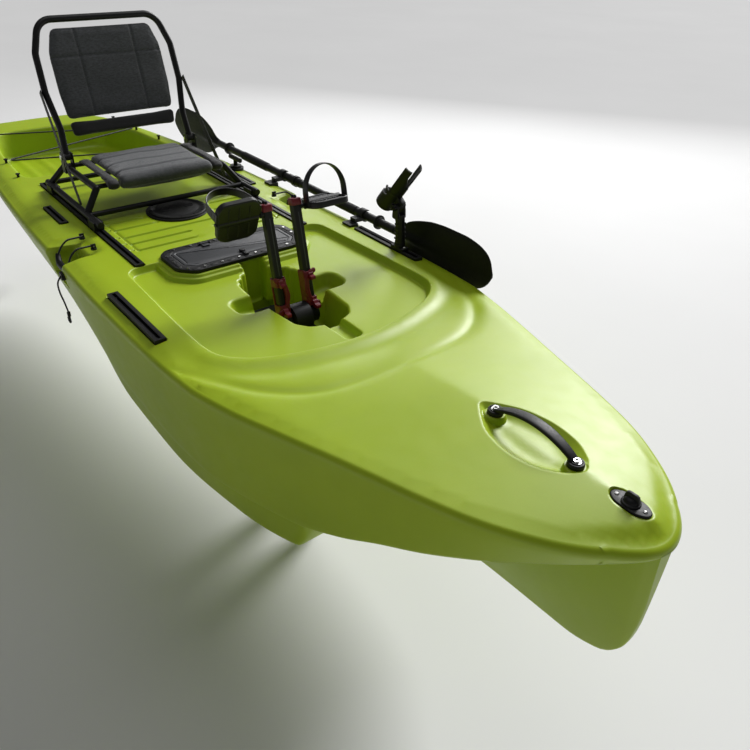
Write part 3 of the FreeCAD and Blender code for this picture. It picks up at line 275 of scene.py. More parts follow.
def place(piece, body, finish, slot=None, stands_for=()):
    """Material, body and the CAD nodes that a piece stands for; slot is not used."""
    piece.data.materials.clear()
    piece.data.materials.append(MATERIALS[finish])
    slot or finish
    if stands_for:
        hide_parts(*stands_for)
    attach(piece, body)
    return piece


def smooth_by_angle(piece, degrees):
    """Smooth shading with creases where faces meet at more than an angle."""
    piece.data.shade_smooth()
    with editing(piece.data) as work:
        for edge in work.edges:
            edge.smooth = not (edge.is_manifold and edge.calc_face_angle(0.0) > math.radians(degrees))


def curve_at(table, column):
    """A smooth monotone curve through one column of a table, as a function of x."""
    rows = sorted(table)
    x = np.array([r[0] for r in rows], float)
    y = np.array([r[column] for r in rows], float)
    h = np.diff(x)
    slope = np.diff(y) / h
    tangent = np.zeros_like(y)
    tangent[0], tangent[-1] = slope[0], slope[-1]
    for i in range(1, len(x) - 1):
        if slope[i - 1] * slope[i] > 0:
            w1 = 2 * h[i] + h[i - 1]
            w2 = h[i] + 2 * h[i - 1]
            tangent[i] = (w1 + w2) / (w1 / slope[i - 1] + w2 / slope[i])

    def value(at):
        at = np.clip(np.asarray(at, float), x[0], x[-1])
        k = np.clip(np.searchsorted(x, at) - 1, 0, len(h) - 1)
        t = (at - x[k]) / h[k]
        return ((1 + 2 * t) * (1 - t) ** 2 * y[k] + t * (1 - t) ** 2 * h[k] * tangent[k]
                + t * t * (3 - 2 * t) * y[k + 1] + t * t * (t - 1) * h[k] * tangent[k + 1])
    return value


def smoothstep(low, high, value):
    t = np.clip((value - low) / (high - low), 0.0, 1.0)
    return t * t * (3 - 2 * t)


def rounded(outline, radius, spacing):
    """A closed outline with its corners rounded, sampled at even spacing, anticlockwise."""
    points = [np.array(p, float) for p in outline]
    area = sum(a[0] * b[1] - b[0] * a[1] for a, b in zip(points, points[1:] + points[:1]))
    if area < 0:
        points.reverse()
    curve = []
    count = len(points)
    for i in range(count):
        before, here, after = points[i - 1], points[i], points[(i + 1) % count]
        back, ahead = before - here, after - here
        r = radius[i] if isinstance(radius, (list, tuple)) else radius
        reach = min(r, 0.48 * np.linalg.norm(back), 0.48 * np.linalg.norm(ahead))
        start = here + back / np.linalg.norm(back) * reach
        end = here + ahead / np.linalg.norm(ahead) * reach
        for t in np.linspace(0, 1, 9):
            curve.append((1 - t) ** 2 * start + 2 * t * (1 - t) * here + t * t * end)
    return even_loop(np.array(curve), spacing)


def even_loop(curve, spacing):
    """A closed curve sampled at even spacing."""
    closed = np.vstack([curve, curve[:1]])
    steps = np.linalg.norm(np.diff(closed, axis=0), axis=1)
    along = np.concatenate([[0], np.cumsum(steps)])
    count = max(8, int(round(along[-1] / spacing)))
    at = np.linspace(0, along[-1], count, endpoint=False)
    return np.column_stack([np.interp(at, along, closed[:, k]) for k in range(2)])


def box_loop(x0, x1, y0, y1, radius, spacing):
    """A rectangle with its corners rounded."""
    return rounded([(x0, y0), (x1, y0), (x1, y1), (x0, y1)], radius, spacing)


def circle(x, radius, count):
    """A circle about a point on the centre line."""
    turn = np.linspace(0, 2 * math.pi, count, endpoint=False)
    return np.column_stack([x + radius * np.cos(turn), radius * np.sin(turn)])


def offset_loop(loop, distance):
    """The loop moved outward (anticlockwise loops) by a distance."""
    run = np.roll(loop, -1, axis=0) - np.roll(loop, 1, axis=0)
    run /= np.linalg.norm(run, axis=1)[:, None]
    return loop + np.column_stack([run[:, 1], -run[:, 0]]) * distance


def signed_distance(points, loop):
    """Distance of each point from a closed loop, below zero inside."""
    result = np.full(len(points), 1e9)
    inside = np.zeros(len(points), bool)
    x, y = points[:, 0], points[:, 1]
    for (x0, y0), (x1, y1) in zip(loop, np.roll(loop, -1, axis=0)):
        dx, dy = x1 - x0, y1 - y0
        t = np.clip(((x - x0) * dx + (y - y0) * dy) / max(dx * dx + dy * dy, 1e-12), 0, 1)
        result = np.minimum(result, np.hypot(x - x0 - t * dx, y - y0 - t * dy))
        crosses = (y0 > y) != (y1 > y)
        if dy:
            inside ^= crosses & (x < x0 + (y - y0) / dy * dx)
    return np.where(inside, -result, result)


# ---- hull -----------------------------------------------------------------------------
RIM = [  # x, half width, edge height, middle height, gable, lip bottom height, tuck
    (-1750, 200, 338, 350, 0.2, 120, 60), (-1690, 262, 342, 354, 0.2, 110, 80),
    (-1500, 332, 346, 358, 0.0, 95, 100), (-1150, 392, 350, 364, 0.0, 90, 105),
    (-700, 434, 354, 370, 0.0, 90, 100), (-300, 455, 356, 370, 0.0, 90, 88),
    (0, 463, 357, 370, 0.0, 90, 60), (300, 469, 358, 370, 0.0, 90, 36), (600, 466, 359, 370, 0.0, 90, 28),
    (798, 455, 360, 370, 0.0, 90, 27), (926, 428, 361, 374, 0.3, 91, 27), (1082, 380, 365, 386, 0.8, 97, 25),
    (1200, 341, 368, 397, 1.0, 128, 22), (1300, 309, 370, 402, 1.0, 172, 19),
    (1400, 277, 371, 404, 1.0, 212, 17), (1510, 235, 372, 403, 1.0, 262, 15),
    (1610, 178, 372, 400, 1.0, 302, 13), (1665, 135, 372, 397, 1.0, 322, 11),
    (1712, 82, 371, 391, 1.0, 336, 8), (1738, 42, 369, 385, 1.0, 343, 5), (1748, 0, 367, 380, 1.0, 347, 2),
]
KEEL = [  # x, half width at the bottom, half width at the top, bottom height
    (1742, 6, 18, 200), (1738, 8, 20, 130), (1722, 12, 30, 62), (1680, 15, 42, 18), (1600, 18, 56, 0),
    (1400, 24, 80, 0), (1125, 50, 108, 0), (800, 80, 124, 0), (300, 80, 124, 0), (-400, 62, 118, 0),
    (-1100, 40, 96, 4), (-1600, 20, 60, 34), (-1735, 10, 34, 80),
]
SPONSON = [  # x, inner wall, outer bottom edge, bottom height
    (1112, 272, 318, 92), (1105, 262, 328, 64), (1092, 256, 340, 30), (1075, 252, 348, 12),
    (900, 240, 394, 8), (600, 230, 424, 6), (300, 226, 418, 6), (0, 214, 385, 10), (-300, 196, 337, 12),
    (-800, 170, 292, 20), (-1300, 140, 236, 36), (-1640, 110, 180, 66), (-1700, 104, 160, 100),
]
half_at, edge_at, middle_at, gable_at, lip_at, tuck_at = [curve_at(RIM, k) for k in range(1, 7)]
NOSE_X = 1748.0


def half_width(x):
    """Half the hull's width at x; round in plan at the nose, so it follows a square root there."""
    x = np.asarray(x, float)
    round_nose = np.sqrt(np.clip((NOSE_X - x) * 200.0, 0, None))
    return np.where(x > 1690, round_nose, half_at(x))


NOTCH = (-135.0, 10.0, 374.0, 278.0)     # side handle scoop: x range, inner wall, ledge height
EDGE_R = 17.0        # rounding of the deck's edge
FOOT_R = 7.0         # rounding of the lip's foot


def notch_pull(x, half):
    """How far the rim is pulled inboard at the side handle scoops."""
    rear, front, wall, _ = NOTCH
    share = smoothstep(rear - 4, rear + 22, x) * (1 - smoothstep(front - 22, front + 4, x))
    return share * (half - wall)


# deck features, as closed outlines
def mirror_outline(half_outline):
    """An outline given on one side of the centre line, closed on the other."""
    return half_outline + [(x, -y) for x, y in half_outline[::-1]]


COCKPIT = rounded(mirror_outline([(181, 332), (520, 345), (680, 346), (745, 338), (792, 298), (829, 232),
                                  (857, 140), (872, 45)]),
                  [46, 120, 60, 60, 50, 50, 60, 60, 60, 60, 50, 50, 60, 60, 120, 46], 8.0)
ARC = rounded(mirror_outline([(500, 640), (700, 500), (769, 443), (861, 396), (935, 352), (1001, 286),
                              (1041, 212), (1056, 110), (1060, 30)]), 60, 9.0)
WELL = rounded(mirror_outline([(312, 36), (352, 36), (360, 60), (378, 62), (384, 82), (404, 82),
                               (410, 92), (484, 98), (600, 92), (694, 84), (728, 62), (742, 30)]), 9, 4.0)
EARS = rounded([(486, -172), (486, 172), (574, 172), (574, -172)], 34, 5.0)
GROOVE = rounded([(700, -28), (700, 28), (842, 24), (842, -24)], 12, 5.0)
LEAF = rounded(mirror_outline([(1282, 6), (1310, 30), (1350, 58), (1420, 74), (1490, 62), (1536, 30),
                               (1552, 6)]),
               [8, 14, 40, 60, 40, 14, 8, 8, 14, 40, 60, 40, 14, 8], 5.0)
OVAL = rounded(mirror_outline([(1611, 8), (1630, 21), (1678, 21), (1697, 8)]), 14, 4.0)
TANK = rounded(mirror_outline([(-1540, 190), (-1500, 250), (-1200, 296), (-860, 316), (-800, 300)]), 40, 9.0)
PADS = (1322.0, 1530.0)          # round pads under the bow handle's ends
PAD_R = 24.0
ROUND_HATCH_X = -176.0


def hatch_loop(margin, spacing):
    """Outline of the long hatch, wider by a margin."""
    half, front, rear = 218 + margin, 318 + margin, 132 - margin
    starboard = [(rear, -half + 30), (rear + 30, -half), (front - 44, -half), (front, -half + 44)]
    return rounded(starboard + [(x, -y) for x, y in starboard[::-1]], 16, spacing)


HATCH = hatch_loop(0, 6.0)
POCKET = hatch_loop(-40, 8.0)
TRACKS = [(302, 609, 417, 15), (-450, -270, 352, 13), (-700, 175, 284, 14)]     # x0, x1, y, half width


def track_loop(side, x0, x1, y, half):
    y *= side
    return box_loop(x0 - 2.5, x1 + 2.5, y - half - 1.5, y + half + 1.5, 4, 7.0)


TRACK_LOOPS = [track_loop(side, *row) for side in (-1, 1) for row in TRACKS]
RIB_X = (-181.0, -117.0, -44.0, 13.0, 69.0)
SLOT = (330.0, 735.0, 50.0)      # opening that the drive drops through: x range, half width
SLOT_CORNERS = [(SLOT[0], -SLOT[2]), (SLOT[1], -SLOT[2]), (SLOT[1], SLOT[2]), (SLOT[0], SLOT[2])]
WELL_FLOOR = 232.0


def wall_profile(d, depth, top, bottom, draft):
    """Drop of a moulded wall at signed distance d: rounded top edge, drafted wall, rounded foot."""
    d = -np.asarray(d, float)      # above zero inside
    top_arc = top - np.sqrt(np.clip(top ** 2 - np.clip(d + top, 0, top) ** 2, 0, None))
    share = np.clip(d / draft, 0, 1)
    wall = top + (depth - top - bottom) * share
    u = np.clip(d - draft, 0, bottom)
    foot = depth - bottom + np.sqrt(np.clip(bottom ** 2 - (bottom - u) ** 2, 0, None))
    return np.where(d <= -top, 0.0, np.where(d <= 0, top_arc, np.where(d <= draft, wall, foot)))


def hump(value, middle, width):
    return np.exp(-((value - middle) / width) ** 2)


def moulded(z, floor, loop_distance, depth, top, bottom, draft):
    """The surface z lowered to a floor inside a moulded wall."""
    return z - (z - floor) * wall_profile(loop_distance, depth, top, bottom, draft) / depth


def crown_height(x, share, arc, cockpit):
    """Gabled deck, and the lower band that sweeps round the cockpit's front."""
    middle, edge, gable = middle_at(x), edge_at(x), gable_at(x)
    ridge = np.sqrt(share ** 2 + 0.0004) - 0.02
    shoulder = np.clip((share - 0.84) / 0.16, 0, 1.1) ** 1.6
    z = middle - (middle - edge) * (gable * ridge + (1 - gable) * shoulder)
    front = smoothstep(560, 760, x)
    outside = np.clip(cockpit, 0, 400)
    band = 371.0 + 3.6 * hump(outside, 16, 17.0) - 5.0 * hump(outside, 62, 30.0) * front
    rolled = np.clip((share - 0.78) / 0.22, 0, 1.2) ** 1.8
    band += smoothstep(60, 170, outside) * 7.0 * (1 - share) - 11.0 * rolled
    mix = (1 - smoothstep(-34, 4, arc)) * front
    groove = 5.0 * hump(arc, -16, 17.0) * front * (0.45 + 0.55 * smoothstep(0.0, 0.45, share))
    return z * (1 - mix) + band * mix - groove


def cockpit_height(z, x, y, cockpit, hatch):
    """Cockpit floor, a shallow dish, with the hatch plinth left standing."""
    floor = 350.0 + 3.5 * np.exp(-((x - 800) / 90.0) ** 2 - (y / 200.0) ** 2)
    drop = np.clip(z - floor, 0, None)
    sunk = z - drop * wall_profile(cockpit, 20.0, 5.0, 7.0, 5.0) / 20.0
    plinth = 350.0 + 12.0 * (1 - smoothstep(19, 27, hatch)) + 8.0 * (1 - smoothstep(7, 13, hatch))
    plinth = np.where(x < 200, np.maximum(plinth, 370.0 - 20.0 * smoothstep(8, 27, hatch)), plinth)
    return np.where(hatch < 28, np.maximum(sunk, np.minimum(plinth, z)), sunk)


def slat_drop(x, y, hatch):
    """Grooves between the slats behind the hatch, with their side lines and ticks."""
    aside = np.abs(y)
    behind = x > -215
    slats = (aside < 256) & behind & (x < 92)
    near = np.minimum.reduce([np.abs(x - rib) for rib in RIB_X])
    centre = smoothstep(34, 46, aside) * (x > 0) + (x <= 0)
    ring = smoothstep(112, 120, np.hypot(x - ROUND_HATCH_X, y))
    ribs = 7.0 * smoothstep(7.0, 2.0, near) * smoothstep(250, 238, aside) * centre * ring
    line = 3.0 * smoothstep(6.0, 1.5, np.abs(aside - 246)) * behind * (x < 72)
    tick = 5.0 * smoothstep(6.0, 2.0, np.minimum.reduce([np.abs(x - rib + 14) for rib in RIB_X]))
    tick *= smoothstep(250, 254, aside) * smoothstep(268, 262, aside) * behind * (x < 92)
    return np.where(slats, ribs, 0) * (hatch > 10) + line + tick


def drive_well_height(z, p):
    """Drive well, the foot recesses on each side of it and the groove ahead of it."""
    ears = signed_distance(p, EARS)
    ear_depth = np.clip(z - (306 - 14 * smoothstep(150, 60, np.abs(p[:, 1]))), 1, None)
    z_ear = z - ear_depth * wall_profile(ears, 44.0, 12.0, 16.0, 8.0) / 44.0
    z_groove = z - 20.0 * wall_profile(signed_distance(p, GROOVE), 20.0, 7.0, 8.0, 3.0) / 20.0
    z_well = moulded(z, WELL_FLOOR, signed_distance(p, WELL), 118.0, 9.0, 10.0, 7.0)
    return np.minimum(np.minimum(z_ear, z_groove), z_well)


def foredeck_height(z, p):
    """Leaf recess with the bow handle's pads, and the drain plug's flat."""
    leaf = signed_distance(p, LEAF)
    bowl = 20.0 * (1 - np.exp(-(np.clip(-leaf, 0, None) / 17.0) ** 1.5)) + 3.0 * smoothstep(3.0, -2.0, leaf)
    pads = np.minimum.reduce([np.hypot(p[:, 0] - x, p[:, 1]) - PAD_R for x in PADS])
    z_leaf = np.where(leaf < 4, z - bowl, z)
    z_pad = z - np.clip(z - 396.8, 0, None) * smoothstep(1.5, -3.0, pads)
    flat = smoothstep(2.0, -3.0, pads)
    z = np.where(pads < 4, z_pad * flat + z_leaf * (1 - flat), z_leaf)
    return z - np.clip(z - 390.8, 0, None) * smoothstep(2.5, -2.0, signed_distance(p, OVAL))


def deck_height(p):
    """Height of the moulded deck at each (x, y)."""
    x, y = p[:, 0], p[:, 1]
    share = np.clip(np.abs(y) / np.maximum(half_width(x), 1.0), 0, 1.1)
    cockpit, hatch = signed_distance(p, COCKPIT), signed_distance(p, HATCH)
    z = crown_height(x, share, signed_distance(p, ARC), cockpit)
    z = cockpit_height(z, x, y, cockpit, hatch) - slat_drop(x, y, hatch)
    z = foredeck_height(drive_well_height(z, p), p)
    # pockets under the hatches, tank well, tracks
    z = moulded(z, 262, signed_distance(p, POCKET), 100.0, 3.0, 8.0, 4.0)
    z = moulded(z, 270, np.hypot(x - ROUND_HATCH_X, y) - 84, 100.0, 3.0, 8.0, 4.0)
    tank = signed_distance(p, TANK)
    ribs = 4.0 * smoothstep(0.35, 0.75, np.cos(y / 44.0 * math.pi)) * (tank < -34)
    z = moulded(z, 236 + ribs, tank, 120.0, 14.0, 22.0, 12.0)
    for loop in TRACK_LOOPS:
        near_track = np.abs(y - loop[:, 1].mean()) < 40
        d = np.full(len(x), 50.0)
        d[near_track] = signed_distance(p[near_track], loop)
        z = z - np.clip(z - 360.8, 0, None) * smoothstep(2.0, -1.5, d)
    return z


def rim_stations():
    """Places along the hull, close together where its outline turns quickly."""
    coarse = list(np.arange(-1750, -160, 22.0)) + list(np.arange(-160, 34, 4.0))
    coarse += list(np.arange(34, 1500, 15.0)) + list(np.arange(1500, 1690, 9.0))
    nose = [NOSE_X - 58 * (1 - s) ** 2 for s in np.linspace(0, 1, 22)]
    return np.array(coarse + nose)


def side_rows(x):
    """The hull's side from the deck's edge to the lip's foot: (inset, height) for each row."""
    half = half_width(x)
    pull = notch_pull(x, half)
    edge, foot, tuck = edge_at(x), lip_at(x), tuck_at(x)
    upper = edge - EDGE_R
    ledge = np.maximum(NOTCH[3], foot + 6)
    low = ledge - 3
    rows = []
    for a in np.radians(np.linspace(0, 90, 8)):
        rows.append((pull + EDGE_R * (1 - math.sin(a)), edge - EDGE_R * (1 - math.cos(a))))
    rows += [(pull, upper + (ledge - upper) * share) for share in (0.25, 0.5, 0.75, 0.93, 1.0)]
    rows += [(pull * (1 - share), ledge - 1.5 * share) for share in (0.12, 0.5, 0.88)]
    rows += [(0 * x, low + (foot + FOOT_R - low) * share) for share in (0.0, 0.2, 0.45, 0.7, 0.9, 1.0)]
    depth = np.maximum(upper - foot, 1)
    rows = [(inset + tuck * np.clip((upper - z) / depth, 0, 1) ** 1.15, z) for inset, z in rows]
    for a in np.radians([30, 60, 90]):
        rows.append((tuck + FOOT_R * (1 - math.cos(a)), foot + FOOT_R - FOOT_R * math.sin(a)))
    return [(inset + 0 * x, z + 0 * x) for inset, z in rows], half


def rim_spots(x, half, inset):
    """Places set inboard of the outline, square to it round the nose."""
    slope = (half_width(x + 0.02) - half_width(x - 0.02)) / 0.04
    slope = np.where(x > NOSE_X - 0.03, -1e4, slope)
    turn = smoothstep(1500, 1620, x)      # nothing turns aft of the bow
    length = np.sqrt(1 + slope ** 2)
    ahead = -slope / length * turn
    aside = 1 - (1 - 1 / length) * turn
    return x - inset * ahead, np.maximum(half - inset * aside, 0)


KEEL_OPENING = (-1735, 1738)         # x range in which the lip's underside is open over the keel
SPONSON_OPENING = (-1690, 1098)


def build_hull():
    """Points and faces of the hull: sides, transom, lip, keel, sponsons and deck."""
    x = rim_stations()
    rows, half = side_rows(x)
    points = []
    faces = []

    def add(new):
        start = len(points)
        points.extend(new)
        return start

    # sides: port then starboard, joined at the nose
    count = len(x)
    for side in (-1, 1):
        starts = []
        for inset, z in rows:
            px, py = rim_spots(x, half, inset)
            starts.append(add([(px[i], side * py[i], z[i]) for i in range(count)]))
        for a, b in zip(starts, starts[1:]):
            for i in range(count - 1):
                quad = (a + i, a + i + 1, b + i + 1, b + i)
                faces.append(quad if side > 0 else quad[::-1])
    # transom
    grid = []
    for k in range(len(rows)):
        left = np.array((x[0], -(half[0] - rows[k][0][0]), rows[k][1][0]))
        right = np.array((x[0], half[0] - rows[k][0][0], rows[k][1][0]))
        grid.append(add([tuple(left * (1 - t) + right * t) for t in np.linspace(0, 1, 12)]))
    for a, b in zip(grid, grid[1:]):
        for i in range(11):
            faces.append((a + i, b + i, b + i + 1, a + i + 1))
    # underside of the lip, left open where the keel and sponsons stand
    keel_top = curve_at(KEEL, 2)
    inner_at, outer_at = curve_at(SPONSON, 1), curve_at(SPONSON, 2)
    belly = []
    shares = np.linspace(-1, 1, 41)
    inset, foot = rows[-1]
    px, width = rim_spots(x, half, inset)
    for i in range(count):
        belly.append(add([(px[i], width[i] * s, foot[i] + 3.0 * (1 - s * s)) for s in shares]))
    for i, (a, b) in enumerate(zip(belly, belly[1:])):
        here = (x[i] + x[i + 1]) / 2
        for k in range(len(shares) - 1):
            y = abs(points[a + k][1] + points[a + k + 1][1]) / 2
            over_keel = KEEL_OPENING[0] < here < KEEL_OPENING[1] and y < keel_top(here) - 14
            between = inner_at(here) + 16 < y < outer_at(here) - 16
            over_sponson = SPONSON_OPENING[0] < here < SPONSON_OPENING[1] and between
            if over_keel or over_sponson:
                continue
            faces.append((a + k, a + k + 1, b + k + 1, b + k))
    loft_keel(add, faces)
    for side in (-1, 1):
        loft_sponson(add, faces, side)
    deck_mesh(add, faces, x, half, *rows[0])
    return points, faces


def loft_keel(add, faces):
    low_at, high_at, bottom_at = [curve_at(KEEL, k) for k in (1, 2, 3)]
    stations = np.unique(np.concatenate([np.arange(-1735, 1400, 30.0), np.arange(1400, 1700, 12.0),
                                         np.arange(1700, 1742, 3.0), [SLOT[0], SLOT[1], 1742.0]]))
    rings = []
    for x in stations:
        low, high, bottom = float(low_at(x)), float(high_at(x)), float(bottom_at(x))
        top = float(lip_at(x)) + 6
        r = min(12.0, low * 0.7)
        side = [(high - (high - low) * t ** 1.35, top + (bottom + r - top) * t)
                for t in np.linspace(0, 1, 9)]
        side += [(low - r * (1 - math.cos(a)), bottom + r - r * math.sin(a))
                 for a in np.radians([22, 45, 67, 90])]
        flat = SLOT[2] if low - r > SLOT[2] + 2 else (low - r) * 0.6
        side += [(flat, bottom), (flat * 0.5, bottom), (0.0, bottom)]
        ring = [(x, y, z) for y, z in side] + [(x, -y, z) for y, z in side[-2::-1]]
        rings.append((add(ring), len(ring)))
    for (a, n), (b, _), x0, x1 in zip(rings, rings[1:], stations, stations[1:]):
        for k in range(n - 1):
            if SLOT[0] - 1 < x0 and x1 < SLOT[1] + 1 and 13 <= k < n - 14:
                continue
            faces.append((a + k, b + k, b + k + 1, a + k + 1))
    faces.append(tuple(rings[-1][0] + k for k in range(rings[-1][1])))
    faces.append(tuple(rings[0][0] + k for k in range(rings[0][1]))[::-1])
    # walls of the slot that the drive drops through
    low = add([(px, py, 0.0) for px, py in SLOT_CORNERS])
    high = add([(px, py, WELL_FLOOR) for px, py in SLOT_CORNERS])
    for k in range(4):
        faces.append((low + k, high + k, high + (k + 1) % 4, low + (k + 1) % 4))


def loft_sponson(add, faces, side):
    inner_at, outer_at, bottom_at = [curve_at(SPONSON, k) for k in (1, 2, 3)]
    stations = np.unique(np.concatenate([np.arange(-1700, 1050, 30.0), np.arange(1050, 1112, 5.0),
                                         [1112.0]]))
    rings = []
    for x in stations:
        inner, outer, bottom = float(inner_at(x)), float(outer_at(x)), float(bottom_at(x))
        top = float(lip_at(x)) + 5
        wall = float(half_width(x) - tuck_at(x)) - 6
        r = min(14.0, (outer - inner) * 0.3)
        section = [(wall - (wall - outer) * t ** 1.2, top + (bottom + r - top) * t)
                   for t in np.linspace(0, 1, 6)]
        section += [(outer - r * (1 - math.cos(a)), bottom + r - r * math.sin(a))
                    for a in np.radians([30, 60, 90])]
        section += [((outer + inner) / 2, bottom)]
        section += [(inner + r * (1 - math.sin(a)), bottom + r - r * math.cos(a))
                    for a in np.radians([0, 30, 60, 90])]
        section += [(inner, bottom + r + (top - bottom - r) * t) for t in (0.5, 1.0)]
        rings.append((add([(x, side * y, z) for y, z in section]), len(section)))
    for (a, n), (b, _) in zip(rings, rings[1:]):
        for k in range(n - 1):
            quad = (a + k, b + k, b + k + 1, a + k + 1)
            faces.append(quad if side > 0 else quad[::-1])
    for start, n, way in ((rings[-1][0], rings[-1][1], 1), (rings[0][0], rings[0][1], -1)):
        cap = tuple(start + k for k in range(n))
        faces.append(cap[::way * side])


# loops laid along each moulded edge, so that edges and fillets follow it exactly
FEATURES = (
    (COCKPIT, (9, 5, 4, 2.6, 1.2, 0, -5, -7, -9.5, -12, -18)),
    (ARC, (16, 4, -3, -10, -16, -22, -30, -40)),
    (HATCH, (31, 27, 24, 21, 19, 13, 11, 9, 7, 2)),
    (WELL, (12, 9, 6.6, 4.2, 2, 0.5, 0, -7, -8.2, -10.5, -14, -17, -22)),
    (EARS, (15, 12, 9, 6, 3.5, 1.2, 0, -8, -9.5, -12.5, -17, -24)),
    (GROOVE, (9, 7, 4.8, 2.6, 0.8, 0, -3, -4.2, -6.5, -11)),
    (LEAF, (8, 3.5, 1.5, 0, -2.5, -6, -11, -17, -24)),
    (OVAL, (6, 2.5, 1, -0.6, -2, -6)),
    (TANK, (18, 14, 9, 5, 1.5, 0, -12, -14, -18, -26, -34, -44)),
    (POCKET, (6, 3, 1.5, 0, -4, -6, -9, -12)),
    *((loop, (5, 2, 0.4, -1.5)) for loop in TRACK_LOOPS),
    *((circle(x, PAD_R, 60), (4, 1.5, 0, -1.5, -3, -7)) for x in PADS),
    (circle(ROUND_HATCH_X, 84.0, 110), (3, 1.5, 0, -4, -7, -12)),
    (circle(ROUND_HATCH_X, 116.0, 110), (5, 0)),
)


def deck_boundary(x, y_rim):
    """Outline of the deck in plan, anticlockwise, without doubled points."""
    port = list(zip(x, y_rim))
    boundary = np.array(port + [(px, -py) for px, py in port[::-1]])
    keep = [0]
    for i in range(1, len(boundary)):
        if np.linalg.norm(boundary[i] - boundary[keep[-1]]) > 0.05:
            keep.append(i)
    return boundary[keep][::-1]


def chain(flat, edges, line):
    """Adds a run of points whose edges the mesh must keep."""
    start = len(flat)
    flat.extend(line)
    edges.extend((start + k, start + k + 1) for k in range(len(line) - 1))


def lay_features(flat, edges, boundary):
    """Adds the feature loops where they run inside the deck, then the slats, the spine and the slot."""
    for loop, offsets in FEATURES:
        for offset in offsets:
            ring = offset_loop(loop, offset)
            inside = signed_distance(ring, boundary) < -3
            start, n = len(flat), len(ring)
            flat.extend(Vector(p if inner else boundary[0] * 0.999) for p, inner in zip(ring, inside))
            edges.extend((start + k, start + (k + 1) % n) for k in range(n)
                         if inside[k] and inside[(k + 1) % n])
    for rib in RIB_X:
        for side in (-1, 1):
            for step in (-7, -4.5, -2, 0, 2, 4.5, 7):
                x, y0 = rib + step, 48 if rib > 0 else 2
                chain(flat, edges, [Vector((x, side * y)) for y in np.linspace(y0, 238, 22)
                                    if math.hypot(x - ROUND_HATCH_X, y) > 122])
    for side in (-1, 1):
        for y in (239, 241.5, 244.5, 246, 247.5, 250.5, 253, 259, 264, 268):
            chain(flat, edges, [Vector((x, side * y)) for x in np.arange(-214, 92, 4.0)])
    flat.extend(Vector((x, 0.0)) for x in np.arange(1080, 1722, 10.0) if not 1262 < x < 1706)
    start = len(flat)
    flat.extend(Vector(p) for p in SLOT_CORNERS)
    edges.extend((start + k, start + (k + 1) % 4) for k in range(4))


def background_points(flat, step=13.0, gap=7.5, cell=12):
    """Points in staggered rows over the rest of the deck, kept off those already there."""
    taken = {}
    for x, y in np.array([tuple(p) for p in flat]):
        taken.setdefault((int(x // cell), int(y // cell)), []).append((x, y))
    fresh = []
    for row, x in enumerate(np.arange(-1745, 1745, step * 0.866), 1):
        for y in np.arange(-470, 470, step) + (row % 2) * step / 2:
            if abs(y) > float(half_width(x)) - 30:
                continue
            column, line = int(x // cell), int(y // cell)
            near = (spot for a in (-1, 0, 1) for b in (-1, 0, 1)
                    for spot in taken.get((column + a, line + b), ()))
            if not any(abs(x - px) < gap and abs(y - py) < gap for px, py in near):
                fresh.append(Vector((x, y)))
    return fresh


def deck_mesh(add, faces, x, half, inset, edge):
    """The deck as a height field on a plan mesh that keeps every feature's edges."""
    x, y_rim = rim_spots(x, half, inset)
    boundary = deck_boundary(x, y_rim)
    flat = [Vector(p) for p in boundary]
    edges = []
    lay_features(flat, edges, boundary)
    flat += background_points(flat)
    spots, _, triangles, *_ = delaunay_2d_cdt(flat, edges, [list(range(len(boundary)))], 1, 0.02)
    p = np.array([tuple(v) for v in spots])
    z = deck_height(p)
    # the deck meets the rim at the rim's own height, also at the handle scoops and round the nose
    rim_gap = signed_distance(p, boundary)
    on_rim = rim_gap > -0.3
    near_edge = np.interp(p[:, 0], x, edge)
    blend = smoothstep(-34, 0, rim_gap)
    notch = (p[:, 0] > NOTCH[0] - 12) & (p[:, 0] < NOTCH[1] + 12) & ~on_rim
    nose = smoothstep(1590, 1680, p[:, 0]) * smoothstep(-30, 0, rim_gap)
    z = np.where(on_rim, near_edge, z)
    z = np.where(notch, z * (1 - blend) + near_edge * blend, z)
    z = np.where(on_rim, z, z * (1 - nose) + near_edge * nose)
    start = add([(px, py, pz) for (px, py), pz in zip(p, z)])
    for triangle in triangles:
        middle_x, middle_y = (sum(p[k][axis] for k in triangle) / len(triangle) for axis in (0, 1))
        if SLOT[0] < middle_x < SLOT[1] and abs(middle_y) < SLOT[2] and z[triangle[0]] < WELL_FLOOR + 8:
            continue
        faces.append(tuple(start + k for k in triangle))


def make_hull():
    points, faces = build_hull()
    hull = mesh_object("hull", np.array(points) * MM, faces)
    with editing(hull.data) as work:
        bmesh.ops.remove_doubles(work, verts=work.verts, dist=0.00012)
        bmesh.ops.dissolve_degenerate(work, edges=work.edges, dist=0.00001)
        loose = [v for v in work.verts if not v.link_faces]
        bmesh.ops.delete(work, geom=loose, context="VERTS")
    smooth_by_angle(hull, 50.0)
    place(hull, "hull", "hull_green", stands_for=["hull_shell"])


make_hull()

# ---- forms in millimetres ----------------------------------------------------------------
QUARTER = np.radians([0, 30, 60, 90])       # steps round a rounded edge


def layer(loop, inset, z):
    """A loop pulled in by an inset, at a height."""
    return [(x, y, z) for x, y in offset_loop(loop, -inset)]


def pin(radius, low, high):
    """Profile of a plain cylinder."""
    return [(0, low), (radius, low), (radius, high), (0, high)]


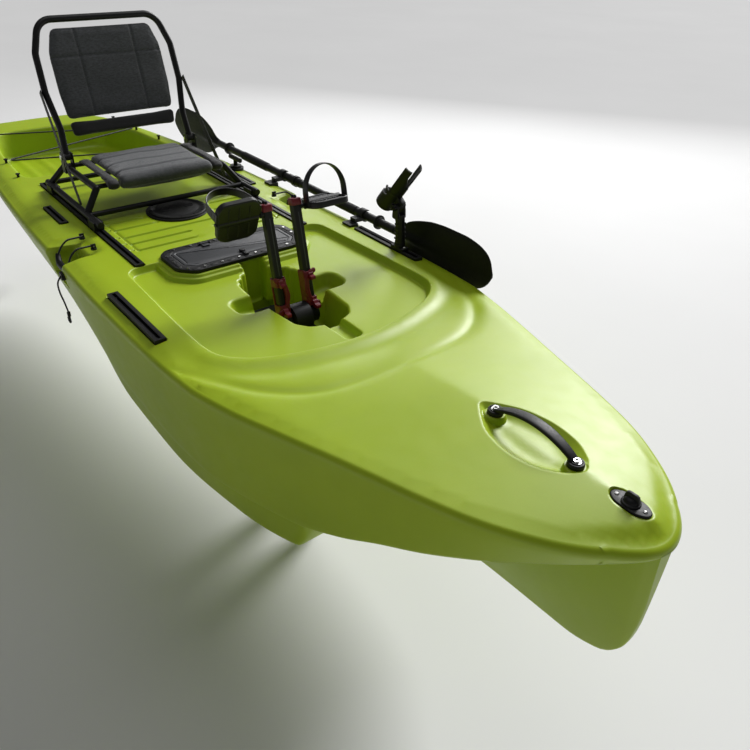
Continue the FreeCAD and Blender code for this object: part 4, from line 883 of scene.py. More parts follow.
class Form:
    """Collects the rings and faces of one piece."""

    def __init__(self):
        self.points = []
        self.faces = []
        self.mark = 0

    def ring(self, points):
        start = len(self.points)
        self.points.extend(tuple(float(c) for c in p) for p in points)
        return start

    def loft(self, rings, caps=True, closed=True):
        """Rings of equal count joined in order."""
        starts = [self.ring(ring) for ring in rings]
        n = len(rings[0])
        for a, b in zip(starts, starts[1:]):
            for k in range(n if closed else n - 1):
                m = (k + 1) % n
                self.faces.append((a + k, a + m, b + m, b + k))
        if caps:
            self.faces.append(tuple(starts[0] + k for k in range(n))[::-1])
            self.faces.append(tuple(starts[-1] + k for k in range(n)))
        return self

    def slab(self, loop, z0, z1, r, foot=0.0):
        """A flat piece on an anticlockwise loop, its upper edge rounded by r and its lower by foot."""
        rings = []
        if foot:
            rings += [layer(loop, foot * (1 - math.cos(a)), z0 + foot * (1 - math.sin(a)))
                      for a in QUARTER[:0:-1]]
        rings.append(layer(loop, 0, z0 + foot))
        rings += [layer(loop, r * (1 - math.cos(a)), z1 - r + r * math.sin(a)) for a in QUARTER]
        return self.loft(rings)

    def band(self, loop, width, z0, z1, r):
        """A flat ring inside a loop, with both upper edges rounded."""
        rings = [layer(loop, 0, z0)]
        rings += [layer(loop, r * (1 - math.cos(a)), z1 - r + r * math.sin(a)) for a in QUARTER]
        rings += [layer(loop, width - r * (1 - math.cos(a)), z1 - r + r * math.sin(a))
                  for a in QUARTER[::-1]]
        rings += [layer(loop, width, z0), rings[0]]
        return self.loft(rings, caps=False)

    def block(self, x0, x1, y0, y1, z0, z1, r):
        """A box with every edge rounded."""
        return self.slab(box_loop(x0, x1, y0, y1, r * 1.5, max(r, 1.2) * 1.6), z0, z1, r, r)

    def block_at(self, centre, halves, z0, z1, r):
        """A rounded box about a place in plan."""
        (x, y), (dx, dy) = centre, halves
        return self.block(x - dx, x + dx, y - dy, y + dy, z0, z1, r)

    def lathe(self, profile, centre, axis="Z", count=36):
        """A profile of (radius, height) turned about an axis through a centre."""
        rings = []
        for radius, height in profile:
            ring = []
            for a in np.linspace(0, 2 * math.pi, count, endpoint=False):
                u, v = max(radius, 0.02) * math.cos(a), max(radius, 0.02) * math.sin(a)
                spot = {"Z": (u, v, height), "Y": (v, height, u), "X": (height, u, v)}[axis]
                ring.append([c + s for c, s in zip(centre, spot)])
            rings.append(ring)
        return self.loft(rings)

    def sweep(self, path, half_width, half_thick, across=(0, 1, 0), corner=0.8, count=16):
        """A rounded section carried along a path; the halves may be numbers or functions of 0 to 1."""
        path = [Vector(p) for p in path]
        rings = []
        for k, here in enumerate(path):
            t = k / (len(path) - 1)
            way = (path[min(k + 1, len(path) - 1)] - path[max(k - 1, 0)]).normalized()
            side = Vector(across)
            side = (side - way * side.dot(way)).normalized()
            lift = way.cross(side)
            w = half_width(t) if callable(half_width) else half_width
            h = half_thick(t) if callable(half_thick) else half_thick
            ring = []
            for a in np.linspace(0, 2 * math.pi, count, endpoint=False):
                c, s = math.cos(a), math.sin(a)
                u = math.copysign(abs(c) ** corner, c) * w
                v = math.copysign(abs(s) ** corner, s) * h
                ring.append(here + side * u + lift * v)
            rings.append(ring)
        return self.loft(rings)

    def turn(self, centre, axis, degrees):
        """Turns what was added since the last turn."""
        spin = Matrix.Translation(centre) @ Matrix.Rotation(math.radians(degrees), 4, axis)
        spin = spin @ Matrix.Translation(-Vector(centre))
        self.points[self.mark:] = [tuple(spin @ Vector(p)) for p in self.points[self.mark:]]
        self.mark = len(self.points)
        return self

    def build(self, name, body, finish, stands_for=(), angle=34.0, slot=None):
        piece = mesh_object(name, np.array(self.points) * MM, self.faces)
        with editing(piece.data) as work:
            bmesh.ops.remove_doubles(work, verts=work.verts, dist=0.00002)
            bmesh.ops.recalc_face_normals(work, faces=work.faces)
        smooth_by_angle(piece, angle)
        return place(piece, body, finish, slot, stands_for)


def smooth_path(points, spacing):
    """Points along a smooth curve through the given ones."""
    points = [np.array(p, float) for p in points]
    points = [2 * points[0] - points[1]] + points + [2 * points[-1] - points[-2]]
    result = []
    for a, b, c, d in zip(points, points[1:], points[2:], points[3:]):
        steps = max(2, int(np.linalg.norm(c - b) / spacing))
        for t in np.linspace(0, 1, steps, endpoint=False):
            result.append(0.5 * (2 * b + (c - a) * t + (2 * a - 5 * b + 4 * c - d) * t ** 2
                                 + (3 * b - a - 3 * c + d) * t ** 3))
    return result + [points[-2]]


# ---- bow fittings --------------------------------------------------------------------------
def make_bow_handle():
    rear, front = PADS
    path = []
    for s in np.linspace(-0.012, 1.012, 46):
        rise = 34.0 * math.sin(math.pi * min(max(s, 0), 1)) ** 0.72
        path.append((rear + s * (front - rear), 0, 401.5 + rise))
    handle = Form()
    handle.sweep(path, lambda t: 9.5 + 4.0 * math.sin(math.pi * t) ** 0.8, 4.6, corner=0.62, count=20)
    cup = [(0, 397.1), (17.2, 397.1), (17.6, 399), (17.2, 404.5), (15.6, 407.0), (13.4, 407.4),
           (12.2, 406.2), (11.6, 405.2), (0, 405.2)]
    socket = [(0, 411.0), (3.9, 411.0), (3.9, 412.2), (3.78, 412.48), (3.5, 412.6), (0, 412.6)]
    sockets = Form()
    for x in PADS:
        handle.lathe(cup, (x, 0, 0))
        sockets.lathe(socket, (x, 0, 0), count=6)
    handle.build("bow_handle_grip", "hull", "black_plastic", ["bow_handle"])
    sockets.build("bow_bolt_sockets", "hull", "black_plastic")


PLUG_X = 1654.0


def make_drain_plug():
    Form().slab(offset_loop(OVAL, -1.2), 391.0, 396.2, 2.4).build(
        "drain_plug_plate", "hull", "black_plastic", ["drain_plug_base"])
    screws = Form()
    for x in (PLUG_X - 30, PLUG_X + 30):
        screws.lathe([(0, 395.8), (4.3, 395.8), (4.1, 397.2), (2.6, 398.3), (0, 398.6)], (x, 0, 0), count=20)
    screws.build("drain_plug_screws", "hull", "stainless")
    plug = Form()
    plug.lathe([(0, 368), (13.6, 368), (13.6, 396.4), (18, 396.5), (18.2, 398.4), (17.2, 400.2),
                (15, 400.8), (14.2, 401.4), (13.4, 404.6), (10.6, 407.6), (6, 409.0), (0, 409.4)],
               (PLUG_X, 0, 0), count=44)
    fin = [(-15.5, 400), (-15.0, 410), (-12.5, 416.5), (-8, 418.8), (8, 418.8), (12.5, 416.5), (15.0, 410),
           (15.5, 400)]
    plug.loft([[(PLUG_X + x * shrink, y, 400 + (z - 400) * shrink) for x, z in fin]
               for y, shrink in ((-3.2, 0.9), (-2.6, 0.97), (0, 1.0), (2.6, 0.97), (3.2, 0.9))])
    plug.build("drain_plug_cap", "drain_plug", "black_plastic", ["drain_plug"])


# ---- hatches --------------------------------------------------------------------------------
def make_long_hatch():
    surround = Form()
    surround.band(HATCH, 30.4, 370.0, 380.0, 2.2)
    for side in (-1, 1):
        for y in (0, 56, 112, 168):
            surround.block_at((306, side * y), (7, 11), 379, 380.9, 0.6)
            surround.block_at((141, side * y), (5, 11), 379, 380.9, 0.6)
        for x in (204, 250):
            surround.block_at((x, side * 203), (11, 5), 379, 380.9, 0.6)
        for y in (54, 86):
            lug = rounded([(154, 379), (162.4, 379), (162.4, 386), (160, 389), (154, 389)], 2, 2.5)
            surround.loft([[(x, side * y + step, z) for x, z in lug] for step in (-3, 3)])
    surround.build("hatch_surround", "hull", "black_plastic", ["hatch_frame"])
    lid = Form()
    edge = offset_loop(HATCH, -31.2)
    lid.loft([layer(edge, inset, z)
              for inset, z in ((0, 372.8), (0, 378.8), (0.6, 380.0), (1.8, 380.6), (9, 380.7), (10.5, 379.7),
                               (13, 379.4), (15, 379.9))])
    for side in (-1, 1):
        lid.lathe(pin(3.3, -12, 12), (160, side * 70, 384.5), "Y", 18)
        lid.block(160.5, 178, side * 70 - 12, side * 70 + 12, 380.2, 384.2, 1.2)
    lid.build("hatch_cover", "hatch_lid", "lid_grey", ["hatch_lid"])
    latch = Form()
    latch.lathe([(0, 380.9), (10, 380.9), (10, 386), (8.6, 387.8), (0, 388.2)], (272, 0, 0), count=28)
    latch.block(274, 302, -6.5, 6.5, 381, 385, 1.2)
    latch.build("hatch_button", "hatch_latch", "black_plastic", ["hatch_latch"])


def make_round_hatch():
    x = ROUND_HATCH_X
    ring = Form()
    ring.lathe([(80, 356), (83.6, 356), (83.6, 370.1), (105, 370.1), (105, 373.6), (103.6, 375.6),
                (101, 376.2), (98.6, 376.0), (80, 376.0), (80, 356.1)], (x, 0, 0), count=72)
    ring.build("round_surround", "hull", "black_plastic", ["round_hatch_ring"])
    cover = Form()
    cover.lathe([(74, 367), (79, 367), (79, 376.3), (96.8, 376.4), (97.2, 378.4), (95.6, 380.6),
                 (92, 381.2), (84, 380.9), (81.5, 379.5), (70, 379.4), (67, 380.3), (12, 380.8),
                 (0, 380.9)], (x, 0, 0), count=72)
    for k in range(12):
        cover.mark = len(cover.points)
        cover.block(x + 84, x + 94, -2.2, 2.2, 380.2, 382.2, 0.8)
        cover.turn((x, 0, 0), "Z", 30 * k + 15)
    for side in (-1, 1):
        cover.band(box_loop(x - 9, x + 9, side * 42 - 17, side * 42 + 17, 8, 3), 3.0, 379.6, 382.4, 1.0)
    cover.build("round_cover", "round_hatch_lid", "black_plastic", ["round_hatch_lid"])


# ---- drive cranks and pedals -----------------------------------------------------------------
CRANK = (575.0, 0.0, 290.0)      # the drums' centre
ARM_Y = 45.0
ARM_LENGTH = 300.0
ARM_LEAN = 13.0                  # degrees aft of upright
PEDAL_Y = 132.0


def square_section(x, y, half, corner):
    return box_loop(x - half, x + half, y - half, y + half, corner, 3.0)


def make_clamp(x, y, z0, side):
    """Clamp: a bar on the inner side, collars above and below, hooked ears outboard, a C in front."""
    clamp = Form()
    inner = y - side * 15.5
    clamp.block(x - 15, x + 15, *sorted((inner, inner + side * 6)), z0 + 16, z0 + 128, 2.2)
    clamp.block(x - 19, x - 12, y - 15, y + 15, z0 + 30, z0 + 126, 2.2)
    for low, high in ((26, 50), (102, 124)):
        clamp.band(box_loop(x - 18, x + 18, y - 16, y + 16, 6, 3), 4.5, z0 + low, z0 + high, 1.4)
    middle = y + side * 4
    for low, reach, height in ((z0 + 22, 40, 20), (z0 + 104, 33, 17)):
        ear = rounded([(x + 14, low), (x + reach, low - 4), (x + reach, low + 7), (x + reach - 10, low + 8),
                       (x + 24, low + height), (x + 14, low + height)], 4, 2.4)
        clamp.loft([[(px, middle + step, pz) for px, pz in ear] for step in (-7, 7)])
    # the C opens outboard, with a hook at each end
    hook = rounded([(21, 131), (23, 119), (9, 113), (-3, 100), (-6, 75), (-3, 52), (9, 40), (23, 35),
                    (25, 22), (6, 22), (-11, 38), (-21, 75), (-15, 106), (2, 125)], 5, 2.4)
    clamp.loft([[(x + px, y + side * py, z0 + pz) for py, pz in offset_loop(hook, pull)]
                for px, pull in ((12.8, 0), (18.5, 0), (20.2, -1.6))])
    return clamp


def make_crank(name, side):
    x, y, z0 = CRANK[0], side * ARM_Y, CRANK[2]

    def lean(form, piece, finish, nodes=(), slot=None):
        form.turn(CRANK, "Y", -ARM_LEAN)
        form.build(f"{name}_{piece}", name + "_crank", finish, nodes, slot=slot)

    arm = Form()
    arm.loft([layer(square_section(x, y, 12.6, 5.5), 0, z0 + z) for z in (40, 290, 306, 317.6)])
    arm.lathe([(0, 0), (5, 0), (5, side * 151)], (x, y, z0 + ARM_LENGTH), "Y", 20)
    arm.lathe(pin(9, side * 12, side * 20), (x, y, z0 + ARM_LENGTH), "Y", 24)
    lean(arm, "arm_tube", "black_aluminium", [name + "_crank_arm"])
    # a narrow grey strip up the tube's front face: a painted highlight on the black arm
    highlight_strip = Form().block(x + 12.4, x + 13.0, y - 2.2, y + 2.2, z0 + 132, z0 + 288, 0.3)
    lean(highlight_strip, "arm_highlight_strip", "lid_grey", slot="black_aluminium")
    cap = Form().slab(square_section(x, y, 14.6, 6.5), z0 + 306, z0 + 325, 3.0, 1.0)
    lean(cap, "cap_block", "crank_red", [name + "_arm_cap"])
    knobs = Form()
    for dx in (-6.5, 6.5):
        knobs.lathe([(0, z0 + 324), (3.8, z0 + 324), (4.2, z0 + 330), (3.0, z0 + 332.5), (0, z0 + 333)],
                    (x + dx, y, 0), count=16)
    lean(knobs, "cap_knobs", "black_plastic")
    lean(make_clamp(x, y, z0, side), "clamp", "crank_red", [name + "_crank_socket"])
    drum = Form()
    drum.lathe([(0, -13), (24, -13), (26, -11), (26, 11), (24, 13), (0, 13)], (x, y, z0), "Y", 44)
    for way in (1, -1):
        drum.lathe([(0, way * 12.5), (12, way * 12.5), (11, way * 15.5), (0, way * 15.8)], (x, y, z0), "Y",
                   24)
    drum.block(x - 11.5, x + 11.5, y - 11.5, y + 11.5, z0 + 22, z0 + 60, 2)
    lean(drum, "drum", "blade_black", slot="crank_red")
    bolts = Form()
    for a in np.radians([20, 110, 200, 290]):
        spot = (x + 18 * math.cos(a), y + side * 12.6, z0 + 18 * math.sin(a))
        bolts.lathe([(0, 0), (3.4, 0), (3.0, side * 1.8), (0, side * 2.0)], spot, "Y", 12)
    lean(bolts, "drum_bolts", "stainless")


PEDAL_TURN = {"starboard": -74.0, "port": -12.0}


def make_pedal(name, side):
    lean = math.radians(ARM_LEAN)
    x, y = CRANK[0] - ARM_LENGTH * math.sin(lean), side * PEDAL_Y
    z = CRANK[2] + ARM_LENGTH * math.cos(lean)
    body = name + "_pedal"
    outline = [(-56, -36), (-44, -58), (40, -62), (58, -46), (58, 46), (40, 62), (-44, 58), (-56, 36)]
    loop = rounded([(x + px, y + side * py) for px, py in outline], 15, 4.0)
    plate = Form()
    plate.band(loop, 7.5, z - 7, z + 9.0, 3.0)
    plate.slab(offset_loop(loop, -1.0), z - 9, z + 3.6, 1.0, 3.0)
    for k in range(5):
        px = x - 38 + k * 19
        plate.block(px - 3.2, px + 3.2, y - 44, y + 44, z + 2.5, z + 7.0, 1.6)
    for py in (-30, 0, 30):
        plate.block(x - 46, x + 46, y + py - 2, y + py + 2, z + 2.5, z + 5.2, 1.0)
        plate.block(x - 44, x + 44, y + py - 2, y + py + 2, z - 10.6, z - 7, 1.0)
    plate.lathe([(5.1, -58), (12, -58), (12, 58), (5.1, 58)], (x, y, z), "Y", 32)
    plate.turn((x, y, z), "Y", PEDAL_TURN[name])
    plate.build(name + "_foot_plate", body, "strap_rubber", [name + "_pedal"], slot="black_plastic")
    strap = Form()
    sx = x + 22
    leg = [(62.6, -7), (62.8, 8), (62.8, 22)]
    arch = [(sx, y - py, z + pz) for py, pz in leg]
    for a in np.linspace(0, math.pi, 25)[1:-1]:
        arch.append((sx, y - 62.8 * math.cos(a), z + 29 + 72 * math.sin(a)))
    arch += [(sx, y + py, z + pz) for py, pz in leg[::-1]]
    strap.sweep(smooth_path(arch, 5), lambda t: 13 - 2.5 * math.sin(math.pi * t) ** 2, 1.9, (1, 0, 0), 0.5)
    for way in (-1, 1):
        for low in (2, 17):
            strap.block_at((sx, y + way * 63.6), (7, 1.6), z + low, z + low + 6, 1.2)
    strap.turn((x, y, z), "Y", PEDAL_TURN[name])
    strap.build(name + "_toe_strap", body, "strap_rubber", [name + "_pedal_strap"])


# ---- rod holder ------------------------------------------------------------------------------
ROD = (507.0, 417.0, 508.0)      # the cradle's pivot
ROD_LEAN = 39
POST_X = 517
ROD_TUBE = (ROD[0] - 47, ROD[1], ROD[2] - 50)      # foot of the cradle's own axis, before it leans


def make_rod_holder():
    x, y, z = ROD
    base = Form()
    base.slab(box_loop(POST_X - 30, POST_X + 30, y - 16, y + 16, 10, 3.5), 375.3, 383.6, 2.4)
    base.lathe([(0, 382), (17.5, 382), (17, 386), (16.4, 394), (15.2, 396), (0, 396)], (POST_X, y, 0),
               count=36)
    base.build("rod_foot", "rod_holder_base", "black_plastic", ["rod_holder_base"])
    screws = Form()
    for screw_x in (POST_X - 22, POST_X + 22):
        screws.lathe([(0, 383), (4.6, 383), (4.4, 385.6), (2.6, 387), (0, 387)], (screw_x, y, 0), count=18)
    screws.build("rod_foot_screws", "rod_holder_base", "stainless", slot="black_plastic")
    post = Form()
    corners = np.radians(np.arange(22.5, 382, 45))
    post.loft([[(POST_X + dx + r * math.cos(a), y + r * 0.98 * math.sin(a), z) for a in corners]
               for z, r, dx in ((396.4, 16.5, 0), (399, 17, 0), (403, 16, 0), (430, 15.4, -1),
                                (462, 15.6, -3), (474, 17, -6), (482, 17.2, -8))])
    for side in (-1, 1):
        cheek = rounded([(493, 470), (521, 470), (519, 500), (513, 517), (501, 517), (495, 500)], 7, 3)
        post.loft([[(px, y + side * 13 + step, pz) for px, pz in cheek] for step in (-2.9, 2.9)])
        for low in (407, 422, 437, 452):
            post.block_at((516, y + side * 14.8), (10, 1.2), low, low + 6, 1.0)
    post.build("rod_post_body", "rod_holder_post", "black_plastic", ["rod_holder_post"], angle=24)
    knob = Form()
    knob.lathe([(0, -32), (3.9, -32), (3.9, 17), (7, 17), (7, 20), (0, 20)], ROD, "Y", 20)
    lobes = []
    for a in np.linspace(0, 2 * math.pi, 60, endpoint=False):
        reach = 10.2 + 1.4 * math.cos(6 * a)
        lobes.append((reach * math.cos(a), reach * math.sin(a)))
    knob.loft([[(ROD[0] + px * size, y, ROD[2] + pz * size) for px, pz in lobes]
               for y, size in ((388.4, 0.9), (389.6, 1.0), (398, 1.0), (399.4, 0.9))])
    knob.build("rod_knob", "rod_holder_post", "black_plastic", ["rod_holder_pin"])
    cradle = mesh_object("rod_cradle_body", *cradle_shell())
    with editing(cradle.data) as work:
        bmesh.ops.remove_doubles(work, verts=work.verts, dist=0.00001)
        bmesh.ops.recalc_face_normals(work, faces=work.faces)
        bmesh.ops.solidify(work, geom=work.faces[:], thickness=0.0042)
        bmesh.ops.recalc_face_normals(work, faces=work.faces)
        spin = Matrix.Translation(Vector(ROD) * MM) @ Matrix.Rotation(math.radians(ROD_LEAN), 4, "Y")
        work.transform(spin @ Matrix.Translation(-Vector(ROD) * MM))
    smooth_by_angle(cradle, 40)
    place(cradle, "rod_holder_cradle", "black_plastic", stands_for=["rod_holder_cradle"])
    knuckle = Form()
    knuckle.lathe([(4.1, -9.6), (10.5, -9.6), (10.5, 9.6), (4.1, 9.6)], ROD, "Y", 28)
    knuckle.block(x - 20, x + 8, y - 9, y + 9, z + 6, z + 24, 2.4)
    knuckle.block(x - 22, x - 12, y - 4, y + 4, z - 14, z + 70, 2.0)
    knuckle.turn(ROD, "Y", ROD_LEAN)
    knuckle.build("rod_knuckle", "rod_holder_cradle", "black_plastic")
    bands = Form()
    around = np.linspace(-2.2, 2.2, 30)
    section = [(ROD_TUBE[0] + r * math.cos(a), ROD_TUBE[1] + r * math.sin(a))
               for r, angles in ((30.8, around), (26.0, around[::-1])) for a in angles]
    for low, high in ((z - 50, z - 43), (z + 20, z + 27)):
        bands.loft([[(px, py, h) for px, py in section] for h in (low, high)])
    bands.turn(ROD, "Y", ROD_LEAN)
    bands.build("rod_cradle_bands", "rod_holder_cradle", "black_plastic")


def cradle_shell():
    """Open cradle: a closed butt ring below, a U along its length and two prongs at the top."""
    angles = np.linspace(-math.pi, math.pi, 73)
    levels = np.linspace(0, 188, 48)
    x, y, z = ROD_TUBE
    points = [((x + 30.0 * math.cos(a)) * MM, (y + 30.0 * math.sin(a)) * MM, (z + h) * MM)
              for h in levels for a in angles]
    faces = []
    n = len(angles)
    for i in range(len(levels) - 1):
        h = (levels[i] + levels[i + 1]) / 2
        gap = math.pi * 0.52 * min(max((h - 34) / 22.0, 0), 1)
        fork = 0.62 * min(max((h - 118) / 40.0, 0), 1)
        for k in range(n - 1):
            a = abs((angles[k] + angles[k + 1]) / 2)
            if fork <= a <= math.pi - gap:
                faces.append((i * n + k, i * n + k + 1, (i + 1) * n + k + 1, (i + 1) * n + k))
    used = sorted({v for f in faces for v in f})
    place_of = {v: i for i, v in enumerate(used)}
    return [points[v] for v in used], [tuple(place_of[v] for v in f) for f in faces]


# ---- paddle ------------------------------------------------------------------------------------
PADDLE_Y, PADDLE_Z = 472, 392
BLADE_HALF = 84
# edges of a blade from root to tip: share of its length, share of its half width
BLADE_TOP = curve_at([(0.0, 0.175), (0.05, 0.26), (0.16, 0.62), (0.28, 0.83), (0.40, 0.95), (0.55, 1.0),
                      (0.70, 1.0), (0.82, 0.93), (0.91, 0.78), (0.97, 0.52), (1.0, 0.1)], 1)
BLADE_LOW = curve_at([(0.0, -0.175), (0.06, -0.27), (0.2, -0.66), (0.32, -0.86), (0.45, -0.97), (0.6, -0.97),
                      (0.74, -0.88), (0.85, -0.72), (0.93, -0.50), (0.98, -0.22), (1.0, 0.0)], 1)


def make_blade(name, root, tip, node):
    """A spooned blade with a spine that fades into it."""
    rings = []
    for u in np.concatenate([np.linspace(0, 0.9, 34), np.linspace(0.915, 0.998, 12)]):
        x = root + (tip - root) * u
        high, low = float(BLADE_TOP(u)) * BLADE_HALF, float(BLADE_LOW(u)) * BLADE_HALF
        spine = 12.0 * (1 - smoothstep(0.0, 0.62, u)) + 1.2
        ribbed = smoothstep(0.2, 0.35, u) * (1 - smoothstep(0.8, 0.92, u))
        front, back = [], []
        for s in np.linspace(0, 1, 25):
            v = low + (high - low) * s
            edge = math.sqrt(max(1 - (2 * s - 1) ** 8, 0.0))
            swell = spine * math.exp(-(v / (13.5 + 5 * u)) ** 2)
            ridge = 1.1 * math.exp(-((abs(v) - 46) / 4.0) ** 2) * ribbed
            face = PADDLE_Y + 7.0 * (v / BLADE_HALF) ** 2 * smoothstep(0.05, 0.4, u)
            front.append((x, face + (1.9 + swell + ridge) * edge + 0.25, PADDLE_Z + v))
            back.append((x, face - (1.9 + swell * 0.9) * edge - 0.25, PADDLE_Z + v))
        rings.append(front + back[::-1])
    Form().loft(rings).build(name, "paddle", "blade_black", [node], angle=60)


def make_paddle():
    make_blade("front_blade", 430.0, 860.0, "front_paddle_blade")
    make_blade("rear_blade", -750.0, -1180.0, "rear_paddle_blade")
    axis = (0, PADDLE_Y, PADDLE_Z)
    shaft = Form()
    shaft.lathe(pin(14.4, -750, 430), axis, "X", 36)
    shaft.lathe([(14.4, -205), (15.6, -204), (16.4, -202), (16.4, -118), (15.6, -116), (14.4, -115)], axis,
                "X", 36)
    shaft.lathe([(15, -163), (20, -162), (20, -146), (15, -145)], axis, "X", 24)
    shaft.build("shaft_tube", "paddle", "black_aluminium", ["paddle_shaft"])
    grips = Form()
    for middle in (-450, 130):
        profile = [(14.4, middle - 95), (16.2, middle - 94)]
        for k in range(24):
            at = middle - 90 + k * 7.6
            profile += [(16.6, at), (16.6, at + 4.6), (15.7, at + 5.4), (15.7, at + 7.0)]
        profile += [(16.2, middle + 94), (14.4, middle + 95)]
        grips.lathe(profile, axis, "X", 36)
    grips.build("shaft_grips", "paddle", "seal_rubber", ["paddle_grips"])
    rings = Form()
    for at in (-665, 345):
        half = [(14.4, 8), (16.5, 8), (17, 3), (23.6, 2.4)]
        rings.lathe([(r, at - away) for r, away in half] + [(24, at)]
                    + [(r, at + away) for r, away in half[::-1]], axis, "X", 40)
    rings.build("drip_rings", "paddle", "seal_rubber", ["paddle_drip_rings"])


make_bow_handle()
make_drain_plug()
make_long_hatch()
make_round_hatch()
for side_name, side_sign in SIDES.items():
    make_crank(side_name, side_sign)
    make_pedal(side_name, side_sign)
make_rod_holder()
make_paddle()

# ---- side handles ------------------------------------------------------------------------
BODY_OF = {node: body for body, nodes in frame["record"]["behaviour"]["bodies"].items() for node in nodes}
EYES = (-115.0, -15.0)           # x of a handle's two deck eyes
EYE_Y, EYE_Z = 350, 380


def make_side_handle(name, side):
    """Moulded grip hung on two cord loops, with a stop knob inboard of each deck eye."""
    body = BODY_OF[name + "_side_handle"]
    rear, front = EYES
    middle = (rear + front) / 2
    cords = Form()
    for x, way in ((rear, 1), (front, -1)):
        cords.lathe(pin(3, x - 9, x + 9), (0, side * EYE_Y, EYE_Z), "X", 16)
        loop_x = x + way * 7
        route = [(loop_x, side * EYE_Y, EYE_Z), (loop_x, side * 374, EYE_Z), (loop_x, side * 398, 378.4),
                 (loop_x, side * 418, 363), (loop_x - way * 3, side * 431, 341)]
        cords.sweep(smooth_path(route, 3.0), 2.9, 2.9, (1, 0, 0), 1.0, 14)
    cords.build(name + "_handle_cords", body, "elastic", slot="black_plastic")
    sag = [(-2, 431, 340), (6, 434, 329), (22, 437.5, 319)]
    route = [(rear + along, side * y, z) for along, y, z in sag] + [(middle, side * 438.5, 316)]
    route += [(front - along, side * y, z) for along, y, z in sag[::-1]]

    def girth(t):
        return 6.6 + 3.9 * math.sin(math.pi * t) ** 0.6

    grip = Form()
    grip.sweep(smooth_path(route, 3.0), girth, girth, (0, 1, 0), 1.0, 28)
    for at in (middle - 26, middle + 26):
        grip.lathe(pin(10.7, at - 1.4, at + 1.4), (0, side * 438, 317.4), "X", 28)
    grip.build(name + "_handle_grip", body, "black_plastic", [name + "_side_handle"])


for side_name, side_sign in SIDES.items():
    make_side_handle(side_name, side_sign)

# ---- seat's soft goods -----------------------------------------------------------------
BACK_PIVOT = (-520.0, 506.0)
BACK_LEAN = math.radians(16)


def evaluated_mesh(piece):
    """The piece's mesh with its modifiers worked in."""
    bpy.context.view_layer.update()
    graph = bpy.context.evaluated_depsgraph_get()
    return bpy.data.meshes.new_from_object(piece.evaluated_get(graph))


def coordinates(mesh):
    flat = np.empty(len(mesh.vertices) * 3, np.float64)
    mesh.vertices.foreach_get("co", flat)
    return flat.reshape(-1, 3)


def inflate(piece, pressure, cap):
    """Closed form swollen by a short cloth simulation; no point moves further than cap."""
    remesh = piece.modifiers.new("even_mesh", "REMESH")
    remesh.mode = "VOXEL"
    remesh.voxel_size = 0.005
    mesh = evaluated_mesh(piece)
    piece.modifiers.clear()
    piece.data = mesh
    start = coordinates(mesh)
    cloth = piece.modifiers.new("cloth", "CLOTH")
    cloth.settings.quality = 5
    cloth.settings.mass = 0.2
    cloth.settings.use_pressure = True
    cloth.settings.uniform_pressure_force = pressure
    cloth.settings.effector_weights.gravity = 0
    for step in range(1, 21):
        bpy.context.scene.frame_set(step)
    moved = coordinates(evaluated_mesh(piece)) - start
    piece.modifiers.clear()
    bpy.context.scene.frame_set(1)
    size = np.maximum(np.linalg.norm(moved, axis=1, keepdims=True), 1e-9)
    moved *= np.minimum(1.0, cap / size)
    mesh.vertices.foreach_set("co", (start + moved).ravel())
    mesh.update()
    piece.modifiers.new("fine", "SUBSURF").levels = 1
    piece.data = evaluated_mesh(piece)
    piece.modifiers.clear()
    piece.data.shade_smooth()
    return piece


def soft_form(name, rings):
    form = Form().loft(rings)
    piece = mesh_object(name, np.array(form.points) * MM, form.faces)
    with editing(piece.data) as work:
        bmesh.ops.recalc_face_normals(work, faces=work.faces)
    return piece


def press(piece, change):
    """Moves the points by what change gives for their places, in mm."""
    points = coordinates(piece.data) / MM
    piece.data.vertices.foreach_set("co", ((points + change(points)) * MM).ravel())
    piece.data.update()


CUSHION_SIDE = rounded([(-500, 479), (-505, 500), (-480, 508), (-260, 509), (-214, 505), (-195, 487),
                        (-203, 462), (-222, 453), (-240, 459), (-250, 480)], 9, 6.0)


def cushion_rings(low, high, inset=3.0):
    """Cushion's side outline repeated across the seat, pulled in at both ends."""
    ends = ((0.0, 9.0), (3.0, 4.0), (9.0, 1.0))
    stations = [(low + step, pull) for step, pull in ends]
    stations += [(y, 0.0) for y in np.linspace(low + 20, high - 20, 9)]
    stations += [(high - step, pull) for step, pull in ends[::-1]]
    return [[(x, y, z) for x, z in offset_loop(CUSHION_SIDE, -inset - pull)] for y, pull in stations]


def cushion_seams(p):
    """A crease behind the front roll, two wavy seams, and a gentle swell between them."""
    x, y = p[:, 0], p[:, 1]
    move = np.zeros_like(p)
    crease = 5.0 * hump(x, -262, 6.0)
    for seam in (-340, -418):
        crease += 3.4 * hump(x, seam + 5.0 * np.sin(y / 55.0), 4.5)
    swell = 2.6 * np.cos(np.clip(y / 165.0, -1, 1) * math.pi / 2) + 0.9 * np.sin(y / 27.0 + x / 41.0)
    move[:, 2] = smoothstep(488, 500, p[:, 2]) * (swell - crease)
    return move


def make_cushion():
    main = inflate(soft_form("seat_cushion_pad", cushion_rings(-166, 166)), 4.0, 0.005)
    press(main, cushion_seams)
    place(main, "seat_base", "seat_fabric", stands_for=["seat_cushion"])
    for name, side in SIDES.items():
        low, high = sorted((side * 166.5, side * 207.5))
        end = inflate(soft_form(name + "_cushion_end", cushion_rings(low, high, 9.5)), 3.0, 0.003)
        place(end, "seat_base", "black_fabric", "seat_fabric")


def up_back(distance, y, forward):
    """Place at a distance up the leaning back and a distance ahead of its plane."""
    x = BACK_PIVOT[0] - distance * math.sin(BACK_LEAN) + forward * math.cos(BACK_LEAN)
    z = BACK_PIVOT[1] + distance * math.cos(BACK_LEAN) + forward * math.sin(BACK_LEAN)
    return (x, y, z)


